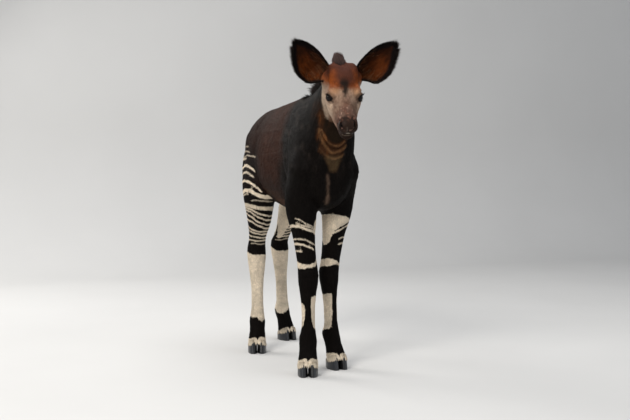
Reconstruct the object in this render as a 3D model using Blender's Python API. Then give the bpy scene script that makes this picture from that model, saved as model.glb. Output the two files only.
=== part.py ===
"""An okapi calf about six weeks old, standing still at life size, in named solid pieces.

The calf faces -Y with its left side at +X. Lengths are metres. The body is lofted from
cross-sections, blended into one skin, and parted at the neck, the legs and the tail.
"""

import math
import random
from dataclasses import dataclass

import bmesh
import bpy
import numpy as np
from mathutils import Matrix, Vector
from mathutils.bvhtree import BVHTree

# Driving dimensions
WITHERS_HEIGHT = 0.988
RUMP_HEIGHT = 0.950
CHEST_FLOOR = 0.562
CHEST_HALF_WIDTH = 0.118
BELLY_HALF_WIDTH = 0.132
RUMP_END = 0.655
HEAD_LENGTH = 0.275
HEAD_DROP = 37.0
HEAD_TURN = -14.6
HEAD_ROOT = Vector((0.000, -0.168, 0.996))
EAR_LENGTH = 0.170
EAR_WALL = 0.0042
EYE_RADIUS = 0.0165
LID_THICKNESS = 0.0030
SLIT_LENGTH = 0.0295
SLIT_HEIGHT = 0.0195
EYE_SPREAD = 0.0415
EYE_FORWARD = 0.130
EYE_UP = 0.043
HOOF_HEIGHT = 0.040
HOOF_LENGTH = 0.078
CLAW_WIDTH = 0.0335
CLAW_GAP = 0.0030
TAIL_RADIUS = 0.0125
MANE_LENGTH = 0.054
LOCK_ROOT = 0.008
SEAM = 0.0003

# How finely the forms are built
FORM_STEP = 0.012
RING_POINTS = 28
BODY_VOXEL = 0.0062
HEAD_VOXEL = 0.0030
BODY_FACES = 6050
HEAD_FACES = 2600
WELD_REACHES = (2e-7, 1e-6, 4e-6, 1.5e-5, 5e-5)

# The head's own axes are x to its left, -y to its nose and z to its crown
HEAD_FRAME = (
    Matrix.Translation(HEAD_ROOT)
    @ Matrix.Rotation(math.radians(HEAD_TURN), 4, "Z")
    @ Matrix.Rotation(math.radians(HEAD_DROP), 4, "X")
)

COATS = {
    "brown_coat": ((0.055, 0.022, 0.013), 0.62),
    "black_coat": ((0.012, 0.010, 0.010), 0.58),
    "white_coat": ((0.62, 0.53, 0.43), 0.75),
    "face_coat": ((0.34, 0.24, 0.18), 0.72),
    "ear_coat": ((0.10, 0.035, 0.015), 0.70),
    "hoof_horn": ((0.030, 0.034, 0.042), 0.34),
    "eye": ((0.008, 0.006, 0.006), 0.06),
}


@dataclass
class Ring:
    """One cross-section: its centre, its half-axes across and up, and how much narrower its top is."""

    centre: Vector
    across: Vector
    up: Vector
    lean: float = 0.0


def upright(y, top, bottom, half_width, lean=0.0, x=0.0):
    """A cross-section of the trunk, square to the ground."""
    return Ring(
        Vector((x, y, (top + bottom) / 2)),
        Vector((half_width, 0, 0)),
        Vector((0, 0, (top - bottom) / 2)),
        lean,
    )


def slanted(top, bottom, half_width, lean=0.0, x=0.0):
    """A cross-section between a point (y, z) of the crest and a point (y, z) of the throat."""
    upper = Vector((x, *top))
    lower = Vector((x, *bottom))
    return Ring((upper + lower) / 2, Vector((half_width, 0, 0)), (upper - lower) / 2, lean)


def level(centre, side, fore, turn=0.0):
    """A level cross-section of a leg: side is its half-width and fore its half-depth."""
    spin = Matrix.Rotation(math.radians(turn), 3, "Z")
    return Ring(Vector(centre), spin @ Vector((side, 0, 0)), spin @ Vector((0, fore, 0)))


def blended(before, start, end, after, share):
    """A Catmull-Rom value between start and end."""
    bend = 2 * start + (end - before) * share
    bend = bend + (2 * before - 5 * start + 4 * end - after) * share**2
    bend = bend + (3 * start - before - 3 * end + after) * share**3
    return bend * 0.5


def filled_in(rings, step=FORM_STEP):
    """The given cross-sections with smooth ones between them, about a step apart."""
    last = len(rings) - 1
    made = []
    for i in range(last):
        four = [rings[max(0, min(last, i + k))] for k in (-1, 0, 1, 2)]
        count = max(1, round((four[2].centre - four[1].centre).length / step))
        for n in range(count):
            share = n / count
            made.append(
                Ring(*(blended(*(getattr(r, part) for r in four), share)
                       for part in ("centre", "across", "up", "lean")))
            )
    return made + [rings[last]]


def loft(name, rings, frame=None, step=FORM_STEP, points=RING_POINTS):
    """A closed mesh through the cross-sections, with a rounded point at each end."""
    shape = bmesh.new()
    loops = []
    full = filled_in(rings, step) if step else rings
    for ring in full:
        loop = []
        for k in range(points):
            angle = math.tau * k / points
            narrow = 1 - ring.lean * math.sin(angle)
            loop.append(shape.verts.new(
                ring.centre + ring.across * math.cos(angle) * narrow + ring.up * math.sin(angle)
            ))
        loops.append(loop)
    for one, two in zip(loops, loops[1:]):
        for k in range(points):
            n = (k + 1) % points
            shape.faces.new((one[k], one[n], two[n], two[k]))
    shape.faces.new(loops[0])
    shape.faces.new(loops[-1])
    if frame:
        shape.transform(frame)
    return placed(name, shape)


def placed(name, shape):
    """A new object in the scene from a closed bmesh, its faces turned outward. The bmesh is freed."""
    shape.normal_update()
    bmesh.ops.recalc_face_normals(shape, faces=shape.faces)
    if shape.calc_volume(signed=True) < 0:
        bmesh.ops.reverse_faces(shape, faces=shape.faces)
    mesh = bpy.data.meshes.new(name)
    shape.to_mesh(mesh)
    shape.free()
    thing = bpy.data.objects.new(name, mesh)
    bpy.context.scene.collection.objects.link(thing)
    return thing


def joined(name, things):
    """One object holding the meshes of several, which are removed."""
    shape = bmesh.new()
    for thing in things:
        shape.from_mesh(thing.data)
        bpy.data.objects.remove(thing)
    return placed(name, shape)


def applied(thing):
    """The object with its modifiers applied."""
    bpy.context.view_layer.update()
    graph = bpy.context.evaluated_depsgraph_get()
    mesh = bpy.data.meshes.new_from_object(thing.evaluated_get(graph))
    thing.modifiers.clear()
    thing.data = mesh
    return thing


def fused(thing, voxel):
    """The object's overlapping forms as one skin of even quads."""
    remesh = thing.modifiers.new("Fuse", "REMESH")
    remesh.mode = "VOXEL"
    remesh.voxel_size = voxel
    return applied(thing)


def thinned(thing, faces):
    """The object with its mesh brought down to about this many triangles."""
    shape = bmesh.new()
    shape.from_mesh(thing.data)
    bmesh.ops.triangulate(shape, faces=shape.faces)
    count = len(shape.faces)
    shape.to_mesh(thing.data)
    shape.free()
    decimate = thing.modifiers.new("Thin", "DECIMATE")
    decimate.ratio = min(1.0, faces / count)
    return applied(thing)


def points_of(mesh):
    """The mesh's vertices as an array."""
    flat = np.empty(len(mesh.vertices) * 3)
    mesh.vertices.foreach_get("co", flat)
    return flat.reshape(-1, 3)


def set_points(mesh, points):
    """Moves the mesh's vertices to the array's places."""
    mesh.vertices.foreach_set("co", points.astype(np.float32).ravel())
    mesh.update()


def relaxed(thing, strength, rounds):
    """Evens the surface. strength is one number or one for each vertex; the forms keep their girth."""
    mesh = thing.data
    points = points_of(mesh)
    ends = np.empty(len(mesh.edges) * 2, np.int64)
    mesh.edges.foreach_get("vertices", ends)
    one, two = ends.reshape(-1, 2).T
    both = np.concatenate([one, two])
    other = np.concatenate([two, one])
    degree = np.bincount(both, minlength=len(points))
    weight = np.broadcast_to(strength, len(points))[:, None]
    for factor in (0.55, -0.52) * rounds:
        mean = np.stack(
            [np.bincount(both, points[other, k], len(points)) for k in range(3)], 1
        ) / degree[:, None]
        points = points + (mean - points) * factor * weight
    set_points(mesh, points)
    return thing


def softened(thing, centre, reach, rounds):
    """Melts the crease between two forms near a point, with a plain average."""
    points = points_of(thing.data)
    near = np.exp(-(((points - np.array(centre)) / np.array(reach)) ** 2).sum(1))
    mesh = thing.data
    ends = np.empty(len(mesh.edges) * 2, np.int64)
    mesh.edges.foreach_get("vertices", ends)
    one, two = ends.reshape(-1, 2).T
    both = np.concatenate([one, two])
    other = np.concatenate([two, one])
    degree = np.bincount(both, minlength=len(points))
    for _ in range(rounds):
        mean = np.stack(
            [np.bincount(both, points[other, k], len(points)) for k in range(3)], 1
        ) / degree[:, None]
        points = points + (mean - points) * near[:, None] * 0.6
    set_points(mesh, points)
    return thing


def pressed(thing, strokes, frame=None):
    """Raises or sinks the surface with soft strokes: (centre, reach along x, y and z, push)."""
    mesh = thing.data
    points = points_of(mesh)
    back = np.array((frame or Matrix.Identity(4)).inverted())
    local = points @ back[:3, :3].T + back[:3, 3]
    moved = np.zeros_like(local)
    for centre, reach, push in strokes:
        away = (local - np.array(centre)) / np.array(reach)
        moved += np.exp(-(away**2).sum(1))[:, None] * np.array(push)
    turn = np.array(frame or Matrix.Identity(4))[:3, :3]
    set_points(mesh, points + moved @ turn.T)
    return thing


def both_sides(strokes):
    """The strokes and their mirror images across x = 0."""
    mirrored = [((-c[0], c[1], c[2]), r, (-p[0], p[1], p[2])) for c, r, p in strokes]
    return list(strokes) + mirrored


def trunk():
    """The barrel of the body, from the breast to the rump."""
    w, r, f = WITHERS_HEIGHT, RUMP_HEIGHT, CHEST_FLOOR
    c, b = CHEST_HALF_WIDTH, BELLY_HALF_WIDTH
    return loft("trunk", [
        upright(-0.122, w - 0.160, f + 0.105, 0.40 * c),
        upright(-0.100, w - 0.100, f + 0.048, 0.66 * c),
        upright(-0.050, w - 0.035, f + 0.014, 0.86 * c, 0.16),
        upright(0.020, w - 0.004, f + 0.006, 0.93 * c, 0.24),
        upright(0.110, w - 0.002, f, 1.02 * c, 0.24),
        upright(0.210, w - 0.012, f - 0.002, 0.97 * b, 0.16),
        upright(0.310, w - 0.020, f + 0.006, b, 0.10),
        upright(0.410, r + 0.010, f + 0.036, 0.97 * b, 0.08),
        upright(0.500, r + 0.004, f + 0.090, 0.91 * b, 0.10),
        upright(0.580, r - 0.018, f + 0.135, 0.82 * b, 0.12),
        upright(0.630, r - 0.052, f + 0.170, 0.64 * b, 0.12),
        upright(RUMP_END, r - 0.095, f + 0.215, 0.38 * b),
    ])


def neck():
    """The neck, a wedge that is deep at the shoulders and slim behind the jaw."""
    w, c = WITHERS_HEIGHT, CHEST_HALF_WIDTH
    return loft("neck", [
        slanted((0.110, w - 0.014), (0.000, 0.640), 0.74 * c, 0.26),
        slanted((0.030, w + 0.006), (-0.092, 0.672), 0.77 * c, 0.28, 0.002),
        slanted((-0.040, w + 0.026), (-0.132, 0.742), 0.70 * c, 0.28, 0.001),
        slanted((-0.105, w + 0.044), (-0.158, 0.805), 0.60 * c, 0.22, -0.005),
        slanted((-0.165, w + 0.058), (-0.178, 0.858), 0.52 * c, 0.12, -0.011),
        slanted((-0.215, w + 0.064), (-0.205, 0.892), 0.46 * c, 0.0, -0.020),
    ])


@dataclass
class Leg:
    """Where a leg's joints stand, top to bottom, and how far its foot turns out, in degrees."""

    name: str
    joints: list
    foot_turn: float


# Share down each span between joints, half-width, half-depth and shift to the rear
FORE_SECTIONS = [
    (0, 0.00, 0.022, 0.042, 0.000),
    (0, 0.45, 0.033, 0.066, 0.006),
    (1, 0.00, 0.039, 0.070, 0.016),
    (1, 0.50, 0.047, 0.073, 0.012),
    (2, 0.00, 0.053, 0.069, 0.002),
    (2, 0.22, 0.052, 0.066, 0.003),
    (2, 0.50, 0.0395, 0.046, 0.003),
    (2, 0.78, 0.0350, 0.035, 0.001),
    (2, 0.93, 0.0360, 0.0340, 0.000),
    (3, 0.00, 0.0365, 0.0345, 0.000),
    (3, 0.14, 0.0345, 0.0330, 0.002),
    (3, 0.28, 0.0290, 0.0290, 0.002),
    (3, 0.50, 0.0245, 0.0258, 0.001),
    (3, 0.78, 0.0240, 0.0262, 0.001),
    (4, 0.00, 0.0310, 0.0330, 0.003),
    (4, 0.45, 0.0300, 0.0305, 0.001),
    (5, 0.00, 0.0345, 0.0360, 0.000),
]
HIND_SECTIONS = [
    (0, 0.00, 0.034, 0.060, 0.000),
    (0, 0.35, 0.058, 0.112, 0.029),
    (0, 0.70, 0.062, 0.117, 0.033),
    (1, 0.00, 0.058, 0.101, 0.027),
    (1, 0.25, 0.051, 0.087, 0.007),
    (1, 0.52, 0.0435, 0.064, -0.006),
    (1, 0.80, 0.0340, 0.043, 0.000),
    (2, 0.00, 0.0365, 0.0410, 0.003),
    (2, 0.12, 0.0375, 0.0400, 0.002),
    (2, 0.28, 0.0325, 0.0320, 0.000),
    (2, 0.52, 0.0245, 0.0262, 0.000),
    (2, 0.82, 0.0240, 0.0270, 0.000),
    (3, 0.00, 0.0305, 0.0325, 0.003),
    (3, 0.45, 0.0295, 0.0300, 0.001),
    (4, 0.00, 0.0340, 0.0355, 0.000),
]

FORE_RIGHT = Leg("foreleg_right", [
    (-0.062, 0.062, 0.895), (-0.088, -0.046, 0.720), (-0.077, 0.012, 0.612),
    (-0.061, -0.030, 0.345), (-0.063, -0.036, 0.118), (-0.074, -0.060, 0.044),
], -18)
FORE_LEFT = Leg("foreleg_left", [
    (0.062, 0.072, 0.895), (0.088, -0.034, 0.720), (0.080, 0.032, 0.610),
    (0.042, 0.036, 0.345), (0.053, 0.038, 0.118), (0.065, 0.022, 0.044),
], 3)
HIND_RIGHT = Leg("hindleg_right", [
    (-0.052, 0.520, 0.868), (-0.093, 0.415, 0.610), (-0.083, 0.505, 0.405),
    (-0.096, 0.450, 0.118), (-0.106, 0.424, 0.044),
], -15)
HIND_LEFT = Leg("hindleg_left", [
    (0.052, 0.530, 0.868), (0.094, 0.520, 0.605), (0.088, 0.724, 0.410),
    (0.089, 0.689, 0.118), (0.098, 0.664, 0.044),
], 10)
LEGS = [FORE_RIGHT, FORE_LEFT, HIND_RIGHT, HIND_LEFT]


def is_hind(leg):
    """Whether this is a hind leg, which has a hock and no shoulder."""
    return leg.name.startswith("hind")


def leg_form(leg):
    """A leg from the shoulder or hip down to the coronet."""
    rings = []
    for span, share, side, fore, shift in HIND_SECTIONS if is_hind(leg) else FORE_SECTIONS:
        start = Vector(leg.joints[span])
        end = Vector(leg.joints[min(span + 1, len(leg.joints) - 1)])
        spot = start.lerp(end, share) + Vector((0, shift, 0))
        low = max(0.0, 1 - spot.z / 0.30)
        rings.append(level(spot, side, fore, leg.foot_turn * low))
    rings.append(level(Vector(leg.joints[-1]) - Vector((0, 0, 0.020)), 0.034, 0.036, leg.foot_turn))
    return loft(leg.name, rings)


def hock_point(leg):
    """The point of the hock and the web of tendon that runs up from it behind the gaskin."""
    stifle, hock = Vector(leg.joints[1]), Vector(leg.joints[2])
    axis = (hock - stifle).normalized()
    rear = Vector((0, -axis.z, axis.y))
    return loft("hock_point", [
        level(stifle.lerp(hock, 0.45) + rear * 0.014, 0.013, 0.022),
        level(stifle.lerp(hock, 0.70) + rear * 0.025, 0.0130, 0.022),
        level(stifle.lerp(hock, 0.86) + rear * 0.031, 0.0150, 0.0225),
        level(hock + rear * 0.024 + Vector((0, 0.002, 0.008)), 0.0185, 0.0235),
        level(hock + Vector((0, 0.016, -0.018)), 0.0170, 0.0190),
        level(hock + Vector((0, 0.008, -0.055)), 0.0150, 0.0150),
    ])


def head_forms():
    """The skull, jaw, muzzle, cheeks, brows and ear roots, in the head's own axes."""
    n = HEAD_LENGTH
    skull = loft("skull", [
        upright(0.012, 0.070, -0.030, 0.034),
        upright(-0.010, 0.090, -0.052, 0.045),
        upright(-0.18 * n, 0.103, -0.057, 0.0510, 0.02),
        upright(-0.28 * n, 0.104, -0.055, 0.0525, 0.02),
        upright(-0.38 * n, 0.096, -0.050, 0.0535, 0.04),
        upright(-0.48 * n, 0.081, -0.044, 0.0515, 0.08),
        upright(-0.58 * n, 0.066, -0.040, 0.0455, 0.10),
        upright(-0.68 * n, 0.056, -0.036, 0.0390, 0.08),
        upright(-0.78 * n, 0.049, -0.030, 0.0340, 0.04),
        upright(-0.87 * n, 0.043, -0.022, 0.0330, 0.0),
        upright(-0.94 * n, 0.036, -0.013, 0.0320, 0.0),
        upright(-0.985 * n, 0.026, -0.005, 0.0270, 0.0),
        upright(-n, 0.017, 0.003, 0.0150, 0.0),
    ], HEAD_FRAME, 0.008)
    jaw = loft("jaw", [
        upright(-0.01 * n, 0.010, -0.048, 0.042),
        upright(-0.12 * n, 0.012, -0.070, 0.047, -0.08),
        upright(-0.26 * n, 0.008, -0.074, 0.047, -0.06),
        upright(-0.42 * n, 0.000, -0.066, 0.041, 0.0),
        upright(-0.58 * n, -0.006, -0.056, 0.033, 0.04),
        upright(-0.72 * n, -0.010, -0.048, 0.026, 0.06),
        upright(-0.83 * n, -0.008, -0.044, 0.0235, 0.04),
        upright(-0.90 * n, -0.008, -0.040, 0.0215, 0.0),
        upright(-0.945 * n, -0.010, -0.031, 0.0150, 0.0),
    ], HEAD_FRAME, 0.008)
    forms = [skull, jaw]
    for side in (-1, 1):
        forms.append(loft("brow", [
            upright(-0.088, 0.078, 0.050, 0.0120, 0.0, side * 0.0370),
            upright(-0.110, 0.075, 0.050, 0.0130, 0.0, side * 0.0395),
            upright(-0.132, 0.069, 0.047, 0.0120, 0.0, side * 0.0395),
            upright(-0.150, 0.059, 0.040, 0.0090, 0.0, side * 0.0350),
        ], HEAD_FRAME, 0.008))
        forms.append(loft("cheekbone", [
            upright(-0.070, 0.040, 0.008, 0.0100, 0.0, side * 0.0420),
            upright(-0.105, 0.034, 0.008, 0.0120, 0.0, side * 0.0450),
            upright(-0.140, 0.026, 0.002, 0.0110, 0.0, side * 0.0420),
            upright(-0.175, 0.016, -0.006, 0.0080, 0.0, side * 0.0340),
        ], HEAD_FRAME, 0.008))
        forms.append(loft("ear_root", [
            level((side * 0.032, -0.032, 0.010), 0.024, 0.028),
            level((side * 0.039, -0.034, 0.038), 0.029, 0.030),
            level((side * 0.043, -0.036, 0.062), 0.024, 0.026),
            level((side * 0.044, -0.036, 0.080), 0.012, 0.016),
        ], HEAD_FRAME, 0.008))
        forms.append(loft("poll_side", [
            upright(-0.004, 0.092, 0.056, 0.0130, 0.0, side * 0.0260),
            upright(-0.034, 0.115, 0.058, 0.0190, 0.0, side * 0.0300),
            upright(-0.066, 0.113, 0.058, 0.0190, 0.0, side * 0.0300),
            upright(-0.096, 0.094, 0.050, 0.0150, 0.0, side * 0.0270),
            upright(-0.118, 0.080, 0.048, 0.0090, 0.0, side * 0.0240),
        ], HEAD_FRAME, 0.008))
        forms.append(loft("nostril_wing", [
            upright(-0.226, 0.036, 0.006, 0.0100, 0.0, side * 0.0180),
            upright(-0.246, 0.036, -0.004, 0.0125, 0.0, side * 0.0190),
            upright(-0.263, 0.029, -0.006, 0.0115, 0.0, side * 0.0175),
            upright(-0.273, 0.019, -0.002, 0.0070, 0.0, side * 0.0145),
        ], HEAD_FRAME, 0.006))
    forms.append(loft("crown_bump", [
        upright(0.006, 0.094, 0.050, 0.024),
        upright(-0.022, 0.108, 0.056, 0.035),
        upright(-0.055, 0.112, 0.054, 0.041),
        upright(-0.090, 0.105, 0.048, 0.041),
        upright(-0.120, 0.090, 0.040, 0.034),
    ], HEAD_FRAME, 0.008))
    return forms


FACE_STROKES = both_sides([
    ((0.052, -0.112, 0.006), (0.016, 0.030, 0.020), (0.004, 0, 0)),
    ((0.048, -0.172, 0.012), (0.014, 0.028, 0.014), (-0.004, 0, 0)),
    ((0.050, -0.132, 0.072), (0.018, 0.022, 0.014), (0.002, 0, 0.003)),
    ((0.030, -0.215, 0.036), (0.014, 0.026, 0.012), (-0.002, 0, -0.002)),
]) + [
    ((0.0, -0.262, -0.036), (0.020, 0.014, 0.012), (0, -0.002, -0.002)),
    ((0.0, -0.277, 0.004), (0.006, 0.010, 0.018), (0, 0.003, 0)),
]

TRUNK_STROKES = both_sides([
    ((0.125, 0.120, 0.640), (0.060, 0.050, 0.070), (-0.006, 0, 0)),
    ((0.110, 0.055, 0.860), (0.060, 0.020, 0.060), (-0.004, 0, 0)),
    ((0.128, 0.380, 0.700), (0.050, 0.045, 0.090), (-0.007, 0, 0)),
    ((0.070, 0.455, 0.905), (0.030, 0.035, 0.030), (0.003, 0, 0.004)),
    ((0.070, -0.110, 0.715), (0.035, 0.040, 0.045), (0.002, -0.006, 0)),
    ((0.055, -0.070, 0.860), (0.030, 0.035, 0.060), (-0.006, 0, 0)),
]) + [
    ((0.0, -0.125, 0.650), (0.018, 0.030, 0.080), (0, 0.008, 0)),
]


def body_forms():
    """Every loft of the body except the head's."""
    forms = [trunk(), neck()]
    for leg in LEGS:
        forms.append(leg_form(leg))
        if is_hind(leg):
            forms.append(hock_point(leg))
    return forms


def whole_body():
    """The trunk, neck, head and legs as one coarse skin."""
    body = fused(joined("body", body_forms() + head_forms()), BODY_VOXEL)
    body = relaxed(body, 1.0, 8)
    for leg in LEGS:
        x, y, z = leg.joints[0]
        side = 1 if x > 0 else -1
        if is_hind(leg):
            body = softened(body, (0.11 * side, y - 0.06, z - 0.10), (0.05, 0.14, 0.14), 26)
            body = softened(body, (0.06 * side, leg.joints[1][1], 0.575), (0.05, 0.09, 0.04), 14)
        else:
            body = softened(body, (0.10 * side, y - 0.05, z - 0.10), (0.05, 0.12, 0.15), 30)
            body = softened(body, (0.05 * side, leg.joints[2][1], 0.580), (0.05, 0.08, 0.04), 12)
    body = softened(body, (0, -0.02, 0.86), (0.14, 0.10, 0.12), 34)
    body = softened(body, (0, -0.19, 0.93), (0.09, 0.05, 0.12), 22)
    return thinned(pressed(body, TRUNK_STROKES), BODY_FACES)


def whole_head():
    """The head and the neck behind it as one fine skin."""
    head = fused(joined("head_skin", [neck()] + head_forms()), HEAD_VOXEL)
    head = relaxed(head, 1.0, 6)
    head = softened(head, (0, -0.19, 0.93), (0.09, 0.05, 0.12), 80)
    head = softened(head, HEAD_FRAME @ Vector((0, -0.10, 0.03)), (0.09, 0.09, 0.09), 14)
    return pressed(head, FACE_STROKES, HEAD_FRAME)


def cut(thing, point, normal):
    """Keeps the side of the plane that the normal points away from, and closes the cut flat."""
    shape = bmesh.new()
    shape.from_mesh(thing.data)
    everything = list(shape.verts) + list(shape.edges) + list(shape.faces)
    bmesh.ops.bisect_plane(
        shape, geom=everything, dist=1e-7, plane_co=point, plane_no=normal, clear_outer=True
    )
    rim = [edge for edge in shape.edges if edge.is_boundary]
    caps = bmesh.ops.contextual_create(shape, geom=rim)["faces"]
    if not caps:
        caps = bmesh.ops.holes_fill(shape, edges=rim)["faces"]
    bmesh.ops.triangulate(shape, faces=caps)
    bmesh.ops.recalc_face_normals(shape, faces=shape.faces)
    shape.to_mesh(thing.data)
    shape.free()
    return thing


def copied(thing, name):
    """A copy of the object with its own mesh."""
    twin = thing.copy()
    twin.data = thing.data.copy()
    twin.name = name
    bpy.context.scene.collection.objects.link(twin)
    return twin


def combined(thing, other, operation, solver="EXACT"):
    """The object after a Boolean with the other, which is removed."""
    boolean = thing.modifiers.new("Combine", "BOOLEAN")
    boolean.operation = operation
    boolean.object = other
    boolean.solver = solver
    applied(thing)
    bpy.data.objects.remove(other)
    return largest(thing)


def with_pieces(thing, pieces, solver="EXACT"):
    """The object and the closed pieces rooted in it, as one closed body."""
    bunch = bpy.data.collections.new("pieces")
    bpy.context.scene.collection.children.link(bunch)
    for piece in pieces:
        bpy.context.scene.collection.objects.unlink(piece)
        bunch.objects.link(piece)
    boolean = thing.modifiers.new("Join", "BOOLEAN")
    boolean.operation = "UNION"
    boolean.operand_type = "COLLECTION"
    boolean.collection = bunch
    boolean.solver = solver
    applied(thing)
    for piece in pieces:
        bpy.data.objects.remove(piece)
    bpy.data.collections.remove(bunch)
    return largest(thing)


def welded(mesh):
    """The mesh as a bmesh of triangles, its points welded just far enough for it to close."""
    for reach in WELD_REACHES:
        shape = bmesh.new()
        shape.from_mesh(mesh)
        bmesh.ops.remove_doubles(shape, verts=shape.verts, dist=reach)
        bmesh.ops.dissolve_degenerate(shape, edges=shape.edges, dist=reach)
        bmesh.ops.triangulate(shape, faces=shape.faces)
        if all(len(edge.link_faces) == 2 for edge in shape.edges) or reach == WELD_REACHES[-1]:
            return shape
        shape.free()


def largest(thing):
    """The object with only its largest closed surface."""
    shape = welded(thing.data)
    left = set(shape.verts)
    groups = []
    while left:
        todo = [left.pop()]
        group = set(todo)
        while todo:
            for edge in todo.pop().link_edges:
                for vert in edge.verts:
                    if vert in left:
                        left.remove(vert)
                        group.add(vert)
                        todo.append(vert)
        groups.append(group)
    groups.sort(key=len, reverse=True)
    for group in groups[1:]:
        bmesh.ops.delete(shape, geom=list(group), context="VERTS")
    shape.to_mesh(thing.data)
    shape.free()
    return thing


@dataclass
class LegCut:
    """Where a leg parts from the trunk: the slanted top of its block, and the block's length."""

    inner_height: float
    outer_height: float
    front: float
    rear: float


def leg_cut(leg):
    """How this leg parts from the trunk: below the elbow, or below the flank."""
    if is_hind(leg):
        stifle = leg.joints[1][1]
        return LegCut(0.548, 0.690, stifle - 0.074, stifle + 0.34)
    elbow = leg.joints[2][1]
    return LegCut(0.540, 0.632, elbow - 0.110, elbow + 0.080)


def leg_block(leg, gap):
    """The upright block that holds this leg, from the midline out, grown by the gap."""
    c = leg_cut(leg)
    side = 1 if leg.joints[0][0] > 0 else -1
    inner, outer, floor = -gap / 2 if gap else 0.0, 0.20, -0.05
    rise = (c.outer_height - c.inner_height) / 0.14
    lift = gap * math.hypot(1, rise)
    outline = [
        (inner, floor), (outer, floor),
        (outer, c.inner_height + rise * outer + lift), (inner, c.inner_height + rise * inner + lift),
    ]
    shape = bmesh.new()
    ends = []
    for y in (c.front - gap, c.rear + gap):
        ends.append([shape.verts.new((side * x, y, z)) for x, z in outline])
    for k in range(4):
        n = (k + 1) % 4
        shape.faces.new((ends[0][k], ends[0][n], ends[1][n], ends[1][k]))
    shape.faces.new(ends[0])
    shape.faces.new(ends[1])
    return placed("block", shape)


def part_legs(body):
    """The body's legs as their own objects, and the body without them."""
    made = {}
    for leg in LEGS:
        one = combined(copied(body, leg.name), leg_block(leg, 0.0), "INTERSECT")
        made[leg.name] = one
    for leg in LEGS:
        body = combined(body, leg_block(leg, SEAM), "DIFFERENCE")
    return made, body


def split_leg(leg, whole):
    """The leg in two lengths, parted at the knee or hock, and cut off flat above the hooves."""
    bend = Vector(leg.joints[2 if is_hind(leg) else 3])
    drop = Vector((0, 0, 0.046 if is_hind(leg) else 0.052))
    seam = bend - drop
    upper = copied(whole, leg.name + "_upper")
    cut(upper, seam + Vector((0, 0, SEAM / 2)), (0, 0, -1))
    lower = copied(whole, leg.name + "_lower")
    cut(lower, seam - Vector((0, 0, SEAM / 2)), (0, 0, 1))
    place, facing = hoof_plane(leg)
    cut(lower, place + facing * SEAM, -facing)
    bpy.data.objects.remove(whole)
    return [upper, lower]


def hoof_plane(leg):
    """A point and the upward normal of the plane where the skin ends and the horn begins."""
    turn = Matrix.Rotation(math.radians(leg.foot_turn), 3, "Z")
    x, y, _ = leg.joints[-1]
    return Vector((x, y, HOOF_HEIGHT - 0.004)), turn @ Vector((0, math.sin(0.20), math.cos(0.20)))


def claw(leg, side):
    """One horn claw of a foot: upright walls, a rounded toe, a flat sole and a straight inner side."""
    place, facing = hoof_plane(leg)
    turn = Matrix.Rotation(math.radians(leg.foot_turn), 3, "Z")
    shape = bmesh.new()
    loops = []
    rows = 5
    for row in range(rows):
        rise = row / (rows - 1)
        length = HOOF_LENGTH * (1 - 0.15 * rise)
        width = CLAW_WIDTH * (1 - 0.06 * rise + 0.05 * math.sin(math.pi * rise))
        back = 0.005 + 0.005 * rise
        loop = []
        points = 14
        for k in range(points):
            angle = math.tau * k / points
            c, s = math.cos(angle), math.sin(angle)
            squeeze = 1 - 0.22 * max(0.0, -s)
            across = width / 2 * math.copysign(abs(c) ** 0.80, c) * squeeze
            if c * side < 0:
                across = across * 0.86
            ahead = length / 2 * s
            spot = Vector((
                side * (CLAW_WIDTH / 2 + CLAW_GAP / 2) + across,
                ahead - 0.012 + back,
                0.0,
            ))
            spot = turn @ spot + Vector((place.x, place.y, 0.0))
            top = place.z - ((spot - place).xy.dot(facing.xy)) / facing.z
            spot.z = top * rise
            loop.append(shape.verts.new(spot))
        loops.append(loop)
    for one, two in zip(loops, loops[1:]):
        for k in range(points):
            n = (k + 1) % points
            shape.faces.new((one[k], one[n], two[n], two[k]))
    shape.faces.new(loops[0])
    shape.faces.new(loops[-1])
    bmesh.ops.triangulate(shape, faces=shape.faces)
    name = leg.name + ("_claw_left" if side > 0 else "_claw_right")
    return placed(name, shape)


def eye_place(side):
    """The centre of an eyeball, in the head's axes."""
    return Vector((side * EYE_SPREAD, -EYE_FORWARD, EYE_UP))


def ball(name, centre, radius, segments=16, rows=11):
    """A round ball."""
    shape = bmesh.new()
    bmesh.ops.create_uvsphere(shape, u_segments=segments, v_segments=rows, radius=radius)
    shape.transform(Matrix.Translation(centre))
    return placed(name, shape)


def gaze(side):
    """Which way an eye looks, in the head's axes: outward, well ahead and level."""
    return Vector((side * math.sin(0.92), -math.cos(0.92), 0.10)).normalized()


def eye_frame(side):
    """The eye's own axes: z along the gaze, x along the slit towards the nose, y up."""
    out = gaze(side)
    ahead = Vector((0, -1, -0.22))
    ahead = (ahead - out * ahead.dot(out)).normalized()
    up = out.cross(ahead) * (1 if side < 0 else -1)
    turn = Matrix((ahead, up, out)).transposed().to_4x4()
    return Matrix.Translation(eye_place(side)) @ turn


def slit(side, length, height, depth):
    """An almond-shaped rod along the gaze, which opens the lids."""
    shape = bmesh.new()
    points = 20
    loops = []
    for z in (0.0, depth):
        loop = []
        for k in range(points):
            angle = math.tau * k / points
            c, s = math.cos(angle), math.sin(angle)
            tall = height / 2 * s * (1 - 0.55 * abs(c) ** 2.2)
            loop.append(shape.verts.new((length / 2 * c, tall, z)))
        loops.append(loop)
    for k in range(points):
        n = (k + 1) % points
        shape.faces.new((loops[0][k], loops[0][n], loops[1][n], loops[1][k]))
    shape.faces.new(loops[0])
    shape.faces.new(loops[1])
    shape.transform(HEAD_FRAME @ eye_frame(side))
    return placed("slit", shape)


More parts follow.
